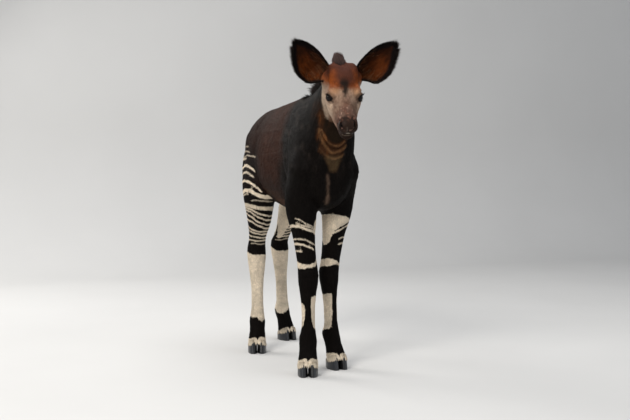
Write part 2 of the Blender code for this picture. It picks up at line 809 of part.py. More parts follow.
def add_eyes(head):
    """Lids raised over each eyeball with an almond opening, and the eyeballs in their sockets."""
    eyes = []
    for side, name in ((-1, "eye_right"), (1, "eye_left")):
        centre = HEAD_FRAME @ eye_place(side)
        head = with_pieces(head, [ball("lid", centre, EYE_RADIUS + LID_THICKNESS)])
        head = combined(head, slit(side, SLIT_LENGTH, SLIT_HEIGHT, 0.05), "DIFFERENCE")
        head = combined(head, ball("socket", centre, EYE_RADIUS + SEAM), "DIFFERENCE")
        eyes.append(ball(name, centre, EYE_RADIUS))
    return head, eyes


def groove(name, head, aims, target, depth, widths):
    """A rod laid along the head's surface, found by looking from each aim towards the target."""
    tree = BVHTree.FromObject(head, bpy.context.evaluated_depsgraph_get())
    rings = []
    marks = []
    for aim, goal in zip(aims, target):
        start = HEAD_FRAME @ aim
        way = (HEAD_FRAME @ goal - start).normalized()
        hit, _, _, _ = tree.ray_cast(start, way)
        marks.append((hit, -way))
    for k, (hit, out) in enumerate(marks):
        before = marks[max(0, k - 1)][0]
        after = marks[min(len(marks) - 1, k + 1)][0]
        beside = (after - before).cross(out).normalized()
        rings.append(Ring(hit + out * 0.0006, out * depth, beside * widths[k]))
    return loft(name, rings, None, 0, 8)


def looked_at(sideways, upward, goal, distance=0.10):
    """A point in front of the face, at these angles in degrees from straight ahead of the goal."""
    turn, tilt = math.radians(sideways), math.radians(upward)
    way = Vector((math.sin(turn) * math.cos(tilt), -math.cos(turn) * math.cos(tilt), math.sin(tilt)))
    return goal + way * distance


def nostril(head, side):
    """The comma-shaped opening of a nostril, from beside the lip up and back over the muzzle."""
    goal = Vector((0, -0.250, 0.010))
    steps = 6
    aims = []
    widths = []
    for k in range(steps):
        share = k / (steps - 1)
        aims.append(looked_at(side * (20 + 40 * share), -3 + 38 * share**1.2, goal))
        widths.append(0.0010 + 0.0034 * math.sin(math.pi * (0.12 + 0.80 * share)) ** 1.5)
    return groove("nostril", head, aims, [goal] * steps, 0.0065, widths)


def mouth_line(head, side):
    """The line between the lips, from the front of the muzzle back to the corner."""
    steps = 11
    aims = []
    goals = []
    widths = []
    for k in range(steps):
        share = k / (steps - 1)
        goal = Vector((0, -0.238 + 0.028 * share, -0.0095 - 0.004 * share))
        aims.append(looked_at(side * (4 + 84 * share), 0, goal))
        goals.append(goal)
        widths.append(0.0016 - 0.0006 * share)
    return groove("mouth_line", head, aims, goals, 0.0028, widths)


def carve_face(head):
    """Opens the nostrils and draws the line of the mouth."""
    for side in (-1, 1):
        head = combined(head, nostril(head, side), "DIFFERENCE")
    for side in (-1, 1):
        head = combined(head, mouth_line(head, side), "DIFFERENCE")
    return head


# Along the ear from root to tip: half-width above and below its midline, and how far it cups
EAR_SECTIONS = [
    (0.00, 0.0170, 0.0190, 2.60),
    (0.09, 0.0230, 0.0340, 2.20),
    (0.16, 0.0265, 0.0540, 1.90),
    (0.24, 0.0295, 0.0650, 1.65),
    (0.37, 0.0330, 0.0690, 1.38),
    (0.50, 0.0350, 0.0660, 1.18),
    (0.64, 0.0325, 0.0560, 1.00),
    (0.78, 0.0260, 0.0400, 0.86),
    (0.90, 0.0160, 0.0235, 0.76),
    (0.97, 0.0075, 0.0105, 0.70),
]
# Each ear is turned and set a little differently, as the calf listens
EAR_ROOTS = {-1: Vector((-0.044, -0.036, 0.058)), 1: Vector((0.052, -0.036, 0.066))}
EAR_REACH = {-1: (-0.69, -0.14, 0.70), 1: (0.755, -0.13, 0.645)}


def ear_frame(side):
    """The ear's axes in the world: z out along it, x across it and y out of its back."""
    root = HEAD_FRAME @ EAR_ROOTS[side]
    turn = Matrix.Rotation(math.radians(HEAD_TURN), 3, "Z")
    out = turn @ Vector(EAR_REACH[side]).normalized()
    back = turn @ Vector((side * -0.20, 0.97, 0.0))
    back = (back - out * back.dot(out)).normalized()
    across = back.cross(out)
    return Matrix.Translation(root) @ Matrix((across, back, out)).transposed().to_4x4()


def ear_surface(side, along, over, outside):
    """A point of the ear: along runs root to tip, over runs from the lower edge to the upper."""
    last = len(EAR_SECTIONS) - 1
    place = 0
    while place < last - 1 and EAR_SECTIONS[place + 1][0] < along:
        place += 1
    four = [EAR_SECTIONS[max(0, min(last, place + k))] for k in (-1, 0, 1, 2)]
    share = min(1.0, max(0.0, (along - four[1][0]) / (four[2][0] - four[1][0])))
    upper, lower, spread = (blended(*(station[k] for station in four), share) for k in (1, 2, 3))
    half = (upper + lower) / 2
    shift = (upper - lower) / 2
    bend = min(spread, math.pi / 2)
    radius = half / math.sin(bend)
    angle = over * spread
    wall = EAR_WALL * (0.35 + 0.65 * math.cos(over * math.pi / 2) ** 0.5 if abs(over) < 1 else 0.35)
    if outside:
        radius = radius + wall
    sway = 0.012 * math.sin(math.pi * along)
    x = radius * math.sin(angle) + shift
    y = radius * (math.cos(angle) - math.cos(bend)) * 0.90 + sway - 0.010 * along
    return Vector((x * (1 if side < 0 else -1), y, along * EAR_LENGTH))


def ear(side, name):
    """A cupped leaf of an ear: an inner and an outer face, closed along the edge and the root."""
    shape = bmesh.new()
    across, along = 11, 11
    faces = []
    grids = []
    for outside in (False, True):
        grid = []
        for i in range(along + 1):
            row = []
            for j in range(across + 1):
                over = -1 + 2 * j / across
                share = 0.97 * (i / along) ** 0.92
                row.append(shape.verts.new(ear_surface(side, share, over, outside)))
            grid.append(row)
        grids.append(grid)
    inner, outer = grids
    for i in range(along):
        for j in range(across):
            for grid in grids:
                a, b, c, d = grid[i][j], grid[i][j + 1], grid[i + 1][j + 1], grid[i + 1][j]
                faces.append((a, b, c))
                faces.append((a, c, d))
    for i in range(along):
        for j in (0, across):
            a, b, c, d = inner[i][j], inner[i + 1][j], outer[i + 1][j], outer[i][j]
            faces.append((a, b, c))
            faces.append((a, c, d))
    for j in range(across):
        for i in (0, along):
            a, b, c, d = inner[i][j], inner[i][j + 1], outer[i][j + 1], outer[i][j]
            faces.append((a, b, c))
            faces.append((a, c, d))
    for face in faces:
        shape.faces.new(face)
    shape.transform(ear_frame(side))
    return placed(name, shape)


def grown(thing, by):
    """A copy of the object pushed out along its own normals."""
    twin = copied(thing, "grown")
    points = points_of(twin.data)
    normals = np.empty(len(points) * 3)
    twin.data.vertices.foreach_get("normal", normals)
    set_points(twin.data, points + normals.reshape(-1, 3) * by)
    return twin


def lock(root, lie, flat, length, width, thickness, curl):
    """One flat lock of hair: full for half its length, then tapering to its tip as it bends over."""
    shape = bmesh.new()
    loops = []
    side = lie.cross(flat).normalized()
    for share, full in ((0.0, 0.80), (0.40, 1.0), (0.74, 0.72), (1.0, 0.14)):
        spot = root + lie * length * share + flat * curl * share**2
        wide = side * width / 2 * full
        thick = flat * thickness / 2 * (1 - 0.65 * share)
        loops.append([shape.verts.new(spot + a * wide + b * thick)
                      for a, b in ((-1, -0.3), (0, -1), (1, -0.3), (0, 1))])
    for one, two in zip(loops, loops[1:]):
        for k in range(4):
            n = (k + 1) % 4
            shape.faces.new((one[k], one[n], two[n], two[k]))
    shape.faces.new(loops[0])
    shape.faces.new(loops[-1])
    return placed("lock", shape)


def mane_locks(neck_piece):
    """The short mane along the crest: flat locks leaning back, each lapping over the next."""
    draw = random.Random(5)
    tree = BVHTree.FromObject(neck_piece, bpy.context.evaluated_depsgraph_get())
    locks = []
    count = 16
    for k in range(count):
        share = k / (count - 1)
        side = -1 if k % 2 else 1
        place = Vector((-0.017 * max(0.0, 1 - 1.5 * share) + side * 0.003, -0.150 + 0.208 * share, 1.5))
        hit, _, _, _ = tree.ray_cast(place, Vector((0, 0, -1)))
        if hit is None:
            continue
        lean = side * draw.uniform(0.10, 0.32)
        lie = Vector((lean, 0.86 + draw.uniform(-0.08, 0.08), 0.66)).normalized()
        length = MANE_LENGTH * (1 - 0.20 * share) * draw.uniform(0.90, 1.10)
        flat = Vector((side, 0, 0))
        flat = (flat - lie * flat.dot(lie)).normalized()
        locks.append(lock(hit - lie * LOCK_ROOT, lie, flat, length + LOCK_ROOT, 0.036, 0.0070, 0.005))
    return locks


def poll_locks(head):
    """The low tufts between the ears, which lap over one another towards the neck."""
    draw = random.Random(11)
    tree = BVHTree.FromObject(head, bpy.context.evaluated_depsgraph_get())
    turn = HEAD_FRAME.to_3x3()
    locks = []
    for across, behind, tall in (
        (-0.021, -0.030, 0.020), (-0.009, -0.034, 0.024), (0.004, -0.029, 0.018),
        (-0.024, -0.014, 0.029), (-0.011, -0.016, 0.035), (0.002, -0.013, 0.027),
        (-0.019, 0.001, 0.036), (-0.007, 0.003, 0.034),
    ):
        hit, _, _, _ = tree.ray_cast(HEAD_FRAME @ Vector((across, behind, 0.3)), turn @ Vector((0, 0, -1)))
        lie = (turn @ Vector((across * 7, 0.62, 0.85 + draw.uniform(-0.08, 0.08)))).normalized()
        flat = turn @ Vector((across * 10, -0.5, 1))
        flat = (flat - lie * flat.dot(lie)).normalized()
        locks.append(lock(hit - lie * LOCK_ROOT, lie, flat, tall + LOCK_ROOT, 0.025, 0.0080, -0.006))
    return locks


TAIL_PATH = [
    (0.640, 0.852, 1.30), (0.664, 0.842, 1.20), (0.684, 0.815, 1.05), (0.694, 0.765, 0.92),
    (0.697, 0.700, 0.82), (0.696, 0.640, 0.76), (0.694, 0.590, 0.72), (0.693, 0.560, 0.40),
]


def tail_core():
    """The tail down to its last joint."""
    rings = []
    for y, z, girth in TAIL_PATH:
        size = TAIL_RADIUS * girth
        rings.append(level((0, y, z), size, size))
    rings[0] = Ring(Vector((0, 0.640, 0.852)), Vector((0.016, 0, 0)), Vector((0, 0.006, 0.015)))
    rings[1] = Ring(Vector((0, 0.668, 0.840)), Vector((0.015, 0, 0)), Vector((0, 0.010, 0.012)))
    return loft("tail", rings, None, 0.060, 8)


def tail_locks():
    """The brush at the end of the tail, in two whorls that close in again at the tips."""
    draw = random.Random(3)
    locks = []
    count = 8
    for k in range(count):
        angle = k * math.tau * 0.382
        height = 0.650 - 0.075 * k / count
        out = Vector((math.cos(angle), math.sin(angle), 0))
        lie = (out * 0.22 + Vector((0, 0, -1))).normalized()
        flat = (out - lie * out.dot(lie)).normalized()
        root = Vector((0, 0.695, height)) + out * 0.0040
        length = 0.092 + draw.uniform(-0.008, 0.010)
        locks.append(lock(root, lie, flat, length, 0.026, 0.0085, -0.020))
    return locks


def surface(name):
    """The plain finish of one kind of coat, horn or eye."""
    colour, roughness = COATS[name]
    material = bpy.data.materials.new(name)
    material.use_nodes = True
    shader = material.node_tree.nodes["Principled BSDF"]
    shader.inputs["Base Color"].default_value = (*colour, 1.0)
    shader.inputs["Roughness"].default_value = roughness
    shader.inputs["Metallic"].default_value = 0.0
    return material


def coat_of(name):
    """The finish that each piece is given."""
    if "claw" in name:
        return "hoof_horn"
    if name.startswith("eye"):
        return "eye"
    if name.startswith("ear"):
        return "ear_coat"
    if name == "head":
        return "face_coat"
    if name.startswith("hindleg") and name.endswith("lower"):
        return "white_coat"
    if "leg" in name or name == "neck":
        return "black_coat"
    return "brown_coat"


def finish_pieces(things):
    """Names, colours and shades the pieces, and centres the calf over the origin, feet on z = 0."""
    low = np.min([points_of(t.data).min(0) for t in things], axis=0)
    high = np.max([points_of(t.data).max(0) for t in things], axis=0)
    middle = (low + high) / 2
    shift = Matrix.Translation((-middle[0], -middle[1], -low[2]))
    materials = {name: surface(name) for name in COATS}
    for thing in things:
        thing.data.transform(shift)
        thing.data.materials.clear()
        thing.data.materials.append(materials[coat_of(thing.name)])
        thing.data.shade_smooth()


def main():
    """Builds the calf."""
    for old in list(bpy.data.objects):
        bpy.data.objects.remove(old)

    legs, body = part_legs(whole_body())
    pieces = []
    for leg in LEGS:
        pieces += split_leg(leg, legs[leg.name])
        pieces += [claw(leg, side) for side in (-1, 1)]

    throat = Vector((-0.015, -0.186, 0.960))
    ahead = Vector((-0.14, -0.985, 0.06)).normalized()
    base = Vector((0, -0.030, 0.82))
    uphill = Vector((0, -0.80, 0.60)).normalized()

    neck_piece = copied(body, "neck")
    cut(neck_piece, throat - ahead * SEAM, ahead)
    cut(neck_piece, base + uphill * SEAM / 2, -uphill)
    torso = body
    torso.name = "torso"
    cut(torso, base - uphill * SEAM / 2, uphill)

    head = whole_head()
    head.name = "head"
    cut(head, throat, -ahead)
    head = thinned(head, HEAD_FACES)
    head, eyes = add_eyes(head)
    head = carve_face(head)

    ears = []
    for side, name in ((-1, "ear_right"), (1, "ear_left")):
        one = ear(side, name)
        ears.append(combined(one, grown(head, SEAM), "DIFFERENCE"))

    tail = with_pieces(tail_core(), tail_locks())
    tail = combined(tail, grown(torso, SEAM), "DIFFERENCE")
    neck_piece = with_pieces(neck_piece, mane_locks(neck_piece))
    head = with_pieces(head, poll_locks(head))

    pieces += [torso, neck_piece, head, tail] + eyes + ears
    finish_pieces(pieces)


main()
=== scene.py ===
"""The dressed okapi calf: one marked skin with its short coat, mane, tail brush, ears, eyes and hooves.

The calf's own axes are x to its left, y to its rear and z up. Its withers stand near y = 0.
Lengths are metres and colours are linear.
"""

import itertools
import logging
import math
from dataclasses import dataclass, field
from enum import Enum

import bpy
import numpy as np
from mathutils import Matrix, Vector
from mathutils.bvhtree import BVHTree


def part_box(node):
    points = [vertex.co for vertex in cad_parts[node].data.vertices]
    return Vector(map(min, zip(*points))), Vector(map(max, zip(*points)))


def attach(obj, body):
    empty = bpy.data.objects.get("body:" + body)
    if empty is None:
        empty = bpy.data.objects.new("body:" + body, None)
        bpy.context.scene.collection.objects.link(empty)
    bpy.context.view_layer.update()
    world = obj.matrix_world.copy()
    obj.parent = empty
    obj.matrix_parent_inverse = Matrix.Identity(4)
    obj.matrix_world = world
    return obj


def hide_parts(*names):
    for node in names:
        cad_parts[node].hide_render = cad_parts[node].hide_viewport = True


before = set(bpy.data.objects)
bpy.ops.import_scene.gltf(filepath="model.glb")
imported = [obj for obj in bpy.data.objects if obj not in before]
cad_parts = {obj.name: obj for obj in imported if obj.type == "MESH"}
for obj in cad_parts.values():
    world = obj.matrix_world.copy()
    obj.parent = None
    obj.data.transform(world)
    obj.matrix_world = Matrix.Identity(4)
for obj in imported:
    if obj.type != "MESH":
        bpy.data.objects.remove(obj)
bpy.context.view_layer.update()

LOG = logging.getLogger("calf")
Array = np.ndarray
Line = tuple[tuple[float, float], ...]
Colour = tuple[float, float, float]
HairRow = tuple[float, float, float, float]


def smooth(low: float, high: float, value: Array) -> Array:
    """A soft step from 0 at low to 1 at high.

    Args:
        low: Where the step starts. It may lie above high, and then the step falls.
        high: Where the step ends.
        value: The values to step.

    Returns:
        An array from 0 to 1.
    """
    share = np.clip((value - low) / (high - low), 0, 1)
    return share * share * (3 - 2 * share)


def unit(rows: Array) -> Array:
    """The rows at length one."""
    return rows / np.maximum(np.linalg.norm(rows, axis=-1, keepdims=True), 1e-9)


def noise(points: Array, size: float, seed: int = 0) -> Array:
    """Smooth lattice noise.

    Args:
        points: Where it is read, one row each.
        size: The width of one bump.
        seed: Picks another pattern.

    Returns:
        One value from -1 to 1 for each point.
    """
    cell = points / size
    corner = np.floor(cell).astype(np.int64)
    share = cell - corner
    share = share * share * (3 - 2 * share)
    total = np.zeros(len(points))
    for step in itertools.product((0, 1), repeat=3):
        key = (corner + step) @ np.array([73856093, 19349663, 83492791]) + seed * 7919
        key = (key ^ (key >> 13)) * 1274126177
        key = (key ^ (key >> 16)) & 0xFFFF
        weight = np.prod(np.where(step, share, 1 - share), axis=1)
        total += weight * (key / 32767.5 - 1)
    return total


def to_polyline(points: Array, line: Array) -> Array:
    """The distance of each point from a line of straight pieces.

    Args:
        points: The points, one row each.
        line: The line's corners, one row each.

    Returns:
        The distances.
    """
    best = np.full(len(points), 1e9)
    for start, end in zip(line[:-1], line[1:]):
        way = end - start
        share = np.clip((points - start) @ way / (way @ way), 0, 1)
        gap = points - start - share[:, None] * way
        best = np.minimum(best, np.einsum("ij,ij->i", gap, gap))
    return np.sqrt(best)


def rounded(line: tuple) -> Array:
    """A line through some places, sampled finely and with its corners rounded.

    Args:
        line: The places, in order.

    Returns:
        The places of the rounded line, one row each.
    """
    places = np.array(line)
    share = np.linspace(0, len(places) - 1, 8 * len(places))
    curve = np.stack([np.interp(share, np.arange(len(places)), column) for column in places.T], 1)
    for _ in range(14):
        curve[1:-1] = (curve[:-2] + 2 * curve[1:-1] + curve[2:]) / 4
    return curve


def overlap(first: Array, second: Array, corner: float) -> Array:
    """How far places lie inside two fields at once, with the corner between them rounded."""
    near = np.maximum(corner - np.abs(first - second), 0.0)
    return np.minimum(first, second) - near**2 / (4 * corner)


def blob(points: Array, centre: Colour, reach: Colour) -> Array:
    """A soft spot, 1 at its centre and fading over its reach."""
    return np.exp(-(((points - np.array(centre)) / np.array(reach)) ** 2).sum(1))


def mixed(base: Array, tone: Array, share: Array) -> Array:
    """The base colours turned towards a tone by a share for each row."""
    return base + (np.asarray(tone) - base) * np.clip(share, 0, 1)[:, None]


class Part(Enum):
    """The regions of the skin."""

    TORSO = 0
    NECK = 1
    HEAD = 2
    EAR_RIGHT = 3
    EAR_LEFT = 4
    TAIL = 5
    FORE_RIGHT = 6
    FORE_LEFT = 7
    HIND_RIGHT = 8
    HIND_LEFT = 9


PART_OF_NODE = {
    "torso": Part.TORSO,
    "neck": Part.NECK,
    "head": Part.HEAD,
    "ear_right": Part.EAR_RIGHT,
    "ear_left": Part.EAR_LEFT,
    "foreleg_right_upper": Part.FORE_RIGHT,
    "foreleg_right_lower": Part.FORE_RIGHT,
    "foreleg_left_upper": Part.FORE_LEFT,
    "foreleg_left_lower": Part.FORE_LEFT,
    "hindleg_right_upper": Part.HIND_RIGHT,
    "hindleg_right_lower": Part.HIND_RIGHT,
    "hindleg_left_upper": Part.HIND_LEFT,
    "hindleg_left_lower": Part.HIND_LEFT,
}


@dataclass(frozen=True)
class LegLine:
    """The centre line of a leg, from the shoulder or hip to the coronet."""

    part: Part
    side: int
    joints: tuple[tuple[float, float, float], ...]
    foot_turn: float

    @property
    def hind(self) -> bool:
        """Whether it is a hind leg."""
        return self.part in (Part.HIND_RIGHT, Part.HIND_LEFT)

    def centre(self, height: Array) -> Array:
        """The centre line's x and y at some heights."""
        rows = np.array(self.joints)[::-1]
        return np.stack([np.interp(height, rows[:, 2], rows[:, k]) for k in (0, 1)], 1)

    def around(self, points: Array) -> tuple[Array, Array]:
        """Where points lie round the leg.

        Args:
            points: Places in the calf's axes.

        Returns:
            The angle in degrees, 0 in front, 90 outside, 180 behind and below 0 inside the
            leg, and the distance from the centre line.
        """
        away = points[:, :2] - self.centre(points[:, 2])
        angle = np.degrees(np.arctan2(away[:, 0] * self.side, -away[:, 1]))
        return np.where(angle < -90, angle + 360, angle), np.hypot(away[:, 0], away[:, 1])


LEGS = (
    LegLine(Part.FORE_RIGHT, -1, (
        (-0.062, 0.062, 0.895), (-0.088, -0.046, 0.720), (-0.077, 0.012, 0.612),
        (-0.061, -0.030, 0.345), (-0.063, -0.036, 0.118), (-0.074, -0.060, 0.044),
    ), -18),
    LegLine(Part.FORE_LEFT, 1, (
        (0.062, 0.072, 0.895), (0.088, -0.034, 0.720), (0.080, 0.032, 0.610),
        (0.042, 0.036, 0.345), (0.053, 0.038, 0.118), (0.065, 0.022, 0.044),
    ), 3),
    LegLine(Part.HIND_RIGHT, -1, (
        (-0.052, 0.520, 0.868), (-0.093, 0.415, 0.610), (-0.083, 0.505, 0.405),
        (-0.096, 0.450, 0.118), (-0.106, 0.424, 0.044),
    ), -15),
    LegLine(Part.HIND_LEFT, 1, (
        (0.052, 0.530, 0.868), (0.094, 0.520, 0.605), (0.088, 0.724, 0.410),
        (0.089, 0.689, 0.118), (0.098, 0.664, 0.044),
    ), 10),
)


@dataclass
class Calf:
    """The calf's landmarks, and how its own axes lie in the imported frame."""

    head_root: Vector = field(default_factory=lambda: Vector((0.000, -0.168, 0.996)))
    head_turn: float = -14.6
    head_drop: float = 37.0
    eye: tuple[float, float, float] = (0.0415, -0.130, 0.043)
    gaze_angle: float = 0.92
    slit: tuple[float, float] = (0.0245, 0.0172)
    ear_length: float = 0.170
    ear_roots: tuple = ((-0.044, -0.036, 0.058), (0.052, -0.036, 0.066))
    ear_reach: tuple = ((-0.69, -0.14, 0.70), (0.755, -0.13, 0.645))
    crest: Line = ((-0.215, 1.052), (-0.165, 1.046), (-0.105, 1.032), (-0.040, 1.014),
                   (0.030, 0.994), (0.110, 0.975), (0.210, 0.974))

    def __post_init__(self) -> None:
        """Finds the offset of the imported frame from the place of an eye."""
        low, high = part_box("eye_right")
        self.offset = np.array((low + high) / 2 - self.head @ self.eye_place(-1))

    @property
    def head(self) -> Matrix:
        """The head's axes: x to its left, -y to its nose and z to its crown.

        Returns:
            The axes, as a matrix in the calf's.
        """
        return (
            Matrix.Translation(self.head_root)
            @ Matrix.Rotation(math.radians(self.head_turn), 4, "Z")
            @ Matrix.Rotation(math.radians(self.head_drop), 4, "X")
        )

    def eye_place(self, side: int) -> Vector:
        """The centre of an eye, in the head's axes."""
        return Vector((side * self.eye[0], self.eye[1], self.eye[2]))

    def eye_frame(self, side: int) -> Matrix:
        """An eye's axes in the head: x along its slit to the nose, y up and z along the gaze.

        Args:
            side: -1 for the right one and 1 for the left.

        Returns:
            The axes, as a matrix in the head's axes.
        """
        out = Vector((side * math.sin(self.gaze_angle), -math.cos(self.gaze_angle), 0.10)).normalized()
        ahead = Vector((0, -1, 0.02))
        ahead = (ahead - out * ahead.dot(out)).normalized()
        up = out.cross(ahead) * (1 if side < 0 else -1)
        turn = Matrix((ahead, up, out)).transposed().to_4x4()
        return Matrix.Translation(self.eye_place(side)) @ turn

    def ear_frame(self, side: int) -> Matrix:
        """An ear's axes: z out along it, x across it and y out of its back.

        Args:
            side: -1 for the right one and 1 for the left.

        Returns:
            The axes, as a matrix in the calf's axes.
        """
        place = 0 if side < 0 else 1
        turn = Matrix.Rotation(math.radians(self.head_turn), 3, "Z")
        out = turn @ Vector(self.ear_reach[place]).normalized()
        back = turn @ Vector((side * -0.20, 0.97, 0.0))
        back = (back - out * back.dot(out)).normalized()
        axes = Matrix((back.cross(out), back, out)).transposed().to_4x4()
        return Matrix.Translation(self.head @ Vector(self.ear_roots[place])) @ axes

    def own(self, points: Array) -> Array:
        """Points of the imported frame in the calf's axes."""
        return points - self.offset

    @staticmethod
    def within(axes: Matrix, points: Array) -> Array:
        """Points of the calf's axes in other axes."""
        back = np.array(axes.inverted())
        return points @ back[:3, :3].T + back[:3, 3]

    @staticmethod
    def outward(axes: Matrix, points: Array) -> Array:
        """Points of some axes in the calf's own."""
        turn = np.array(axes)
        return points @ turn[:3, :3].T + turn[:3, 3]


@dataclass(frozen=True)
class Stripe:
    """A pale stripe round a leg, as heights of its middle at some angles."""

    width: float
    line: Line
    strength: float = 1.0

    def field(self, angle: Array, height: Array, wander: Array) -> Array:
        """How far inside the stripe each place lies.

        Args:
            angle: The angle round the leg, in degrees.
            height: The height above the ground.
            wander: How far the stripe strays there, in metres.

        Returns:
            Metres from the stripe's edge, below 0 outside it.
        """
        angles, heights = np.array(self.line).T
        middle = np.interp(angle, angles, heights) + wander
        ends = smooth(angles[0] - 8, angles[0] + 10, angle) * smooth(angles[-1] + 8, angles[-1] - 10, angle)
        half = self.width / 2 * (0.2 + 0.8 * ends) * (1 + 110 * wander)
        return half - np.abs(height - middle) - 0.012 * smooth(0.30, 0.0, ends)


@dataclass(frozen=True)
class Band:
    """A field of one tone between two lines round a leg."""

    lower: Line
    upper: Line

    def field(self, angle: Array, height: Array, wander: Array) -> Array:
        """How far inside the band each place lies.

        Args:
            angle: The places' angles round the leg, in degrees.
            height: Their heights.
            wander: How far the edges wander there.

        Returns:
            Metres, above 0 inside the band.
        """
        low = np.interp(angle, *np.array(self.lower).T) + 1.3 * wander
        high = np.interp(angle, *np.array(self.upper).T) + 1.3 * wander
        return np.minimum(height - low, high - height)


@dataclass(frozen=True)
class Panel:
    """A field between two angles that change down the leg: rows of (height, from angle, to angle)."""

    rows: tuple[tuple[float, float, float], ...]
    metres: float = 0.0006

    def field(self, angle: Array, height: Array, wander: Array) -> Array:
        """How far inside the panel each place lies.

        Args:
            angle: The places' angles round the leg, in degrees.
            height: Their heights.
            wander: How far the edges wander there.

        Returns:
            Metres, above 0 inside the panel.
        """
        heights, first, last = np.array(sorted(self.rows)).T
        start = np.interp(height, heights, first) + wander * 2500
        end = np.interp(height, heights, last) - wander * 3500
        across = np.minimum(angle - start, end - angle) * self.metres
        return overlap(across, np.minimum(height - heights[0], heights[-1] - height), 0.012)


@dataclass(frozen=True)
class LegMarks:
    """The markings of one leg: white fields, black fields laid over them, and stripes last."""

    white: tuple
    black: tuple
    stripes: tuple[Stripe, ...]
    hoofward: Line


HIND_STRIPES = (
    Stripe(0.005, ((100, 0.806), (150, 0.808), (172, 0.803)), 0.40),
    Stripe(0.006, ((75, 0.782), (110, 0.786), (145, 0.786), (175, 0.775)), 0.50),
    Stripe(0.006, ((34, 0.762), (50, 0.767), (117, 0.771), (150, 0.757), (178, 0.746)), 0.55),
    Stripe(0.007, ((112, 0.757), (140, 0.755), (165, 0.744), (190, 0.736)), 0.80),
    Stripe(0.010, ((42, 0.704), (55, 0.716), (87, 0.728), (120, 0.729), (160, 0.716), (200, 0.703))),
    Stripe(0.008, ((49, 0.684), (65, 0.693), (97, 0.703), (125, 0.702), (160, 0.689), (205, 0.677)), 0.85),
    Stripe(0.010, ((16, 0.629), (28, 0.643), (50, 0.656), (84, 0.667), (120, 0.670), (160, 0.659),
                   (212, 0.645))),
    Stripe(0.015, ((-32, 0.612), (4, 0.607), (23, 0.613), (43, 0.622), (74, 0.633), (115, 0.633),
                   (160, 0.618), (230, 0.604))),
    Stripe(0.006, ((85, 0.617), (97, 0.621), (140, 0.612), (180, 0.604)), 0.70),
    Stripe(0.005, ((-20, 0.590), (6, 0.592), (35, 0.596), (62, 0.594)), 0.50),
    Stripe(0.015, ((-44, 0.560), (14, 0.565), (51, 0.572), (115, 0.577), (180, 0.573), (240, 0.565)), 0.95),
    Stripe(0.0065, ((-60, 0.536), (-14, 0.533), (12, 0.541), (51, 0.559), (115, 0.566), (180, 0.558),
                    (240, 0.550))),
    Stripe(0.0065, ((-60, 0.519), (-6, 0.518), (19, 0.529), (58, 0.550), (115, 0.556), (180, 0.546),
                    (240, 0.537))),
    Stripe(0.0065, ((-60, 0.500), (-11, 0.499), (17, 0.509), (48, 0.528), (115, 0.543), (180, 0.533),
                    (240, 0.524))),
    Stripe(0.0065, ((-60, 0.484), (-9, 0.484), (20, 0.496), (47, 0.510), (115, 0.520), (180, 0.515),
                    (240, 0.508))),
    Stripe(0.0065, ((-60, 0.470), (17, 0.472), (55, 0.481), (115, 0.496), (180, 0.494), (240, 0.488))),
    Stripe(0.0065, ((-60, 0.460), (-4, 0.459), (45, 0.467), (115, 0.479), (180, 0.476), (240, 0.470))),
    Stripe(0.0065, ((-60, 0.445), (-8, 0.445), (44, 0.451), (115, 0.457), (180, 0.456), (240, 0.452))),
    Stripe(0.006, ((-60, 0.433), (25, 0.433), (115, 0.438), (240, 0.436)), 0.95),
    Stripe(0.005, ((-58, 0.419), (-13, 0.417), (30, 0.423), (62, 0.421)), 0.60),
)
HIND_SOCK = ((-90, 0.374), (42, 0.377), (110, 0.386), (180, 0.390), (270, 0.376))
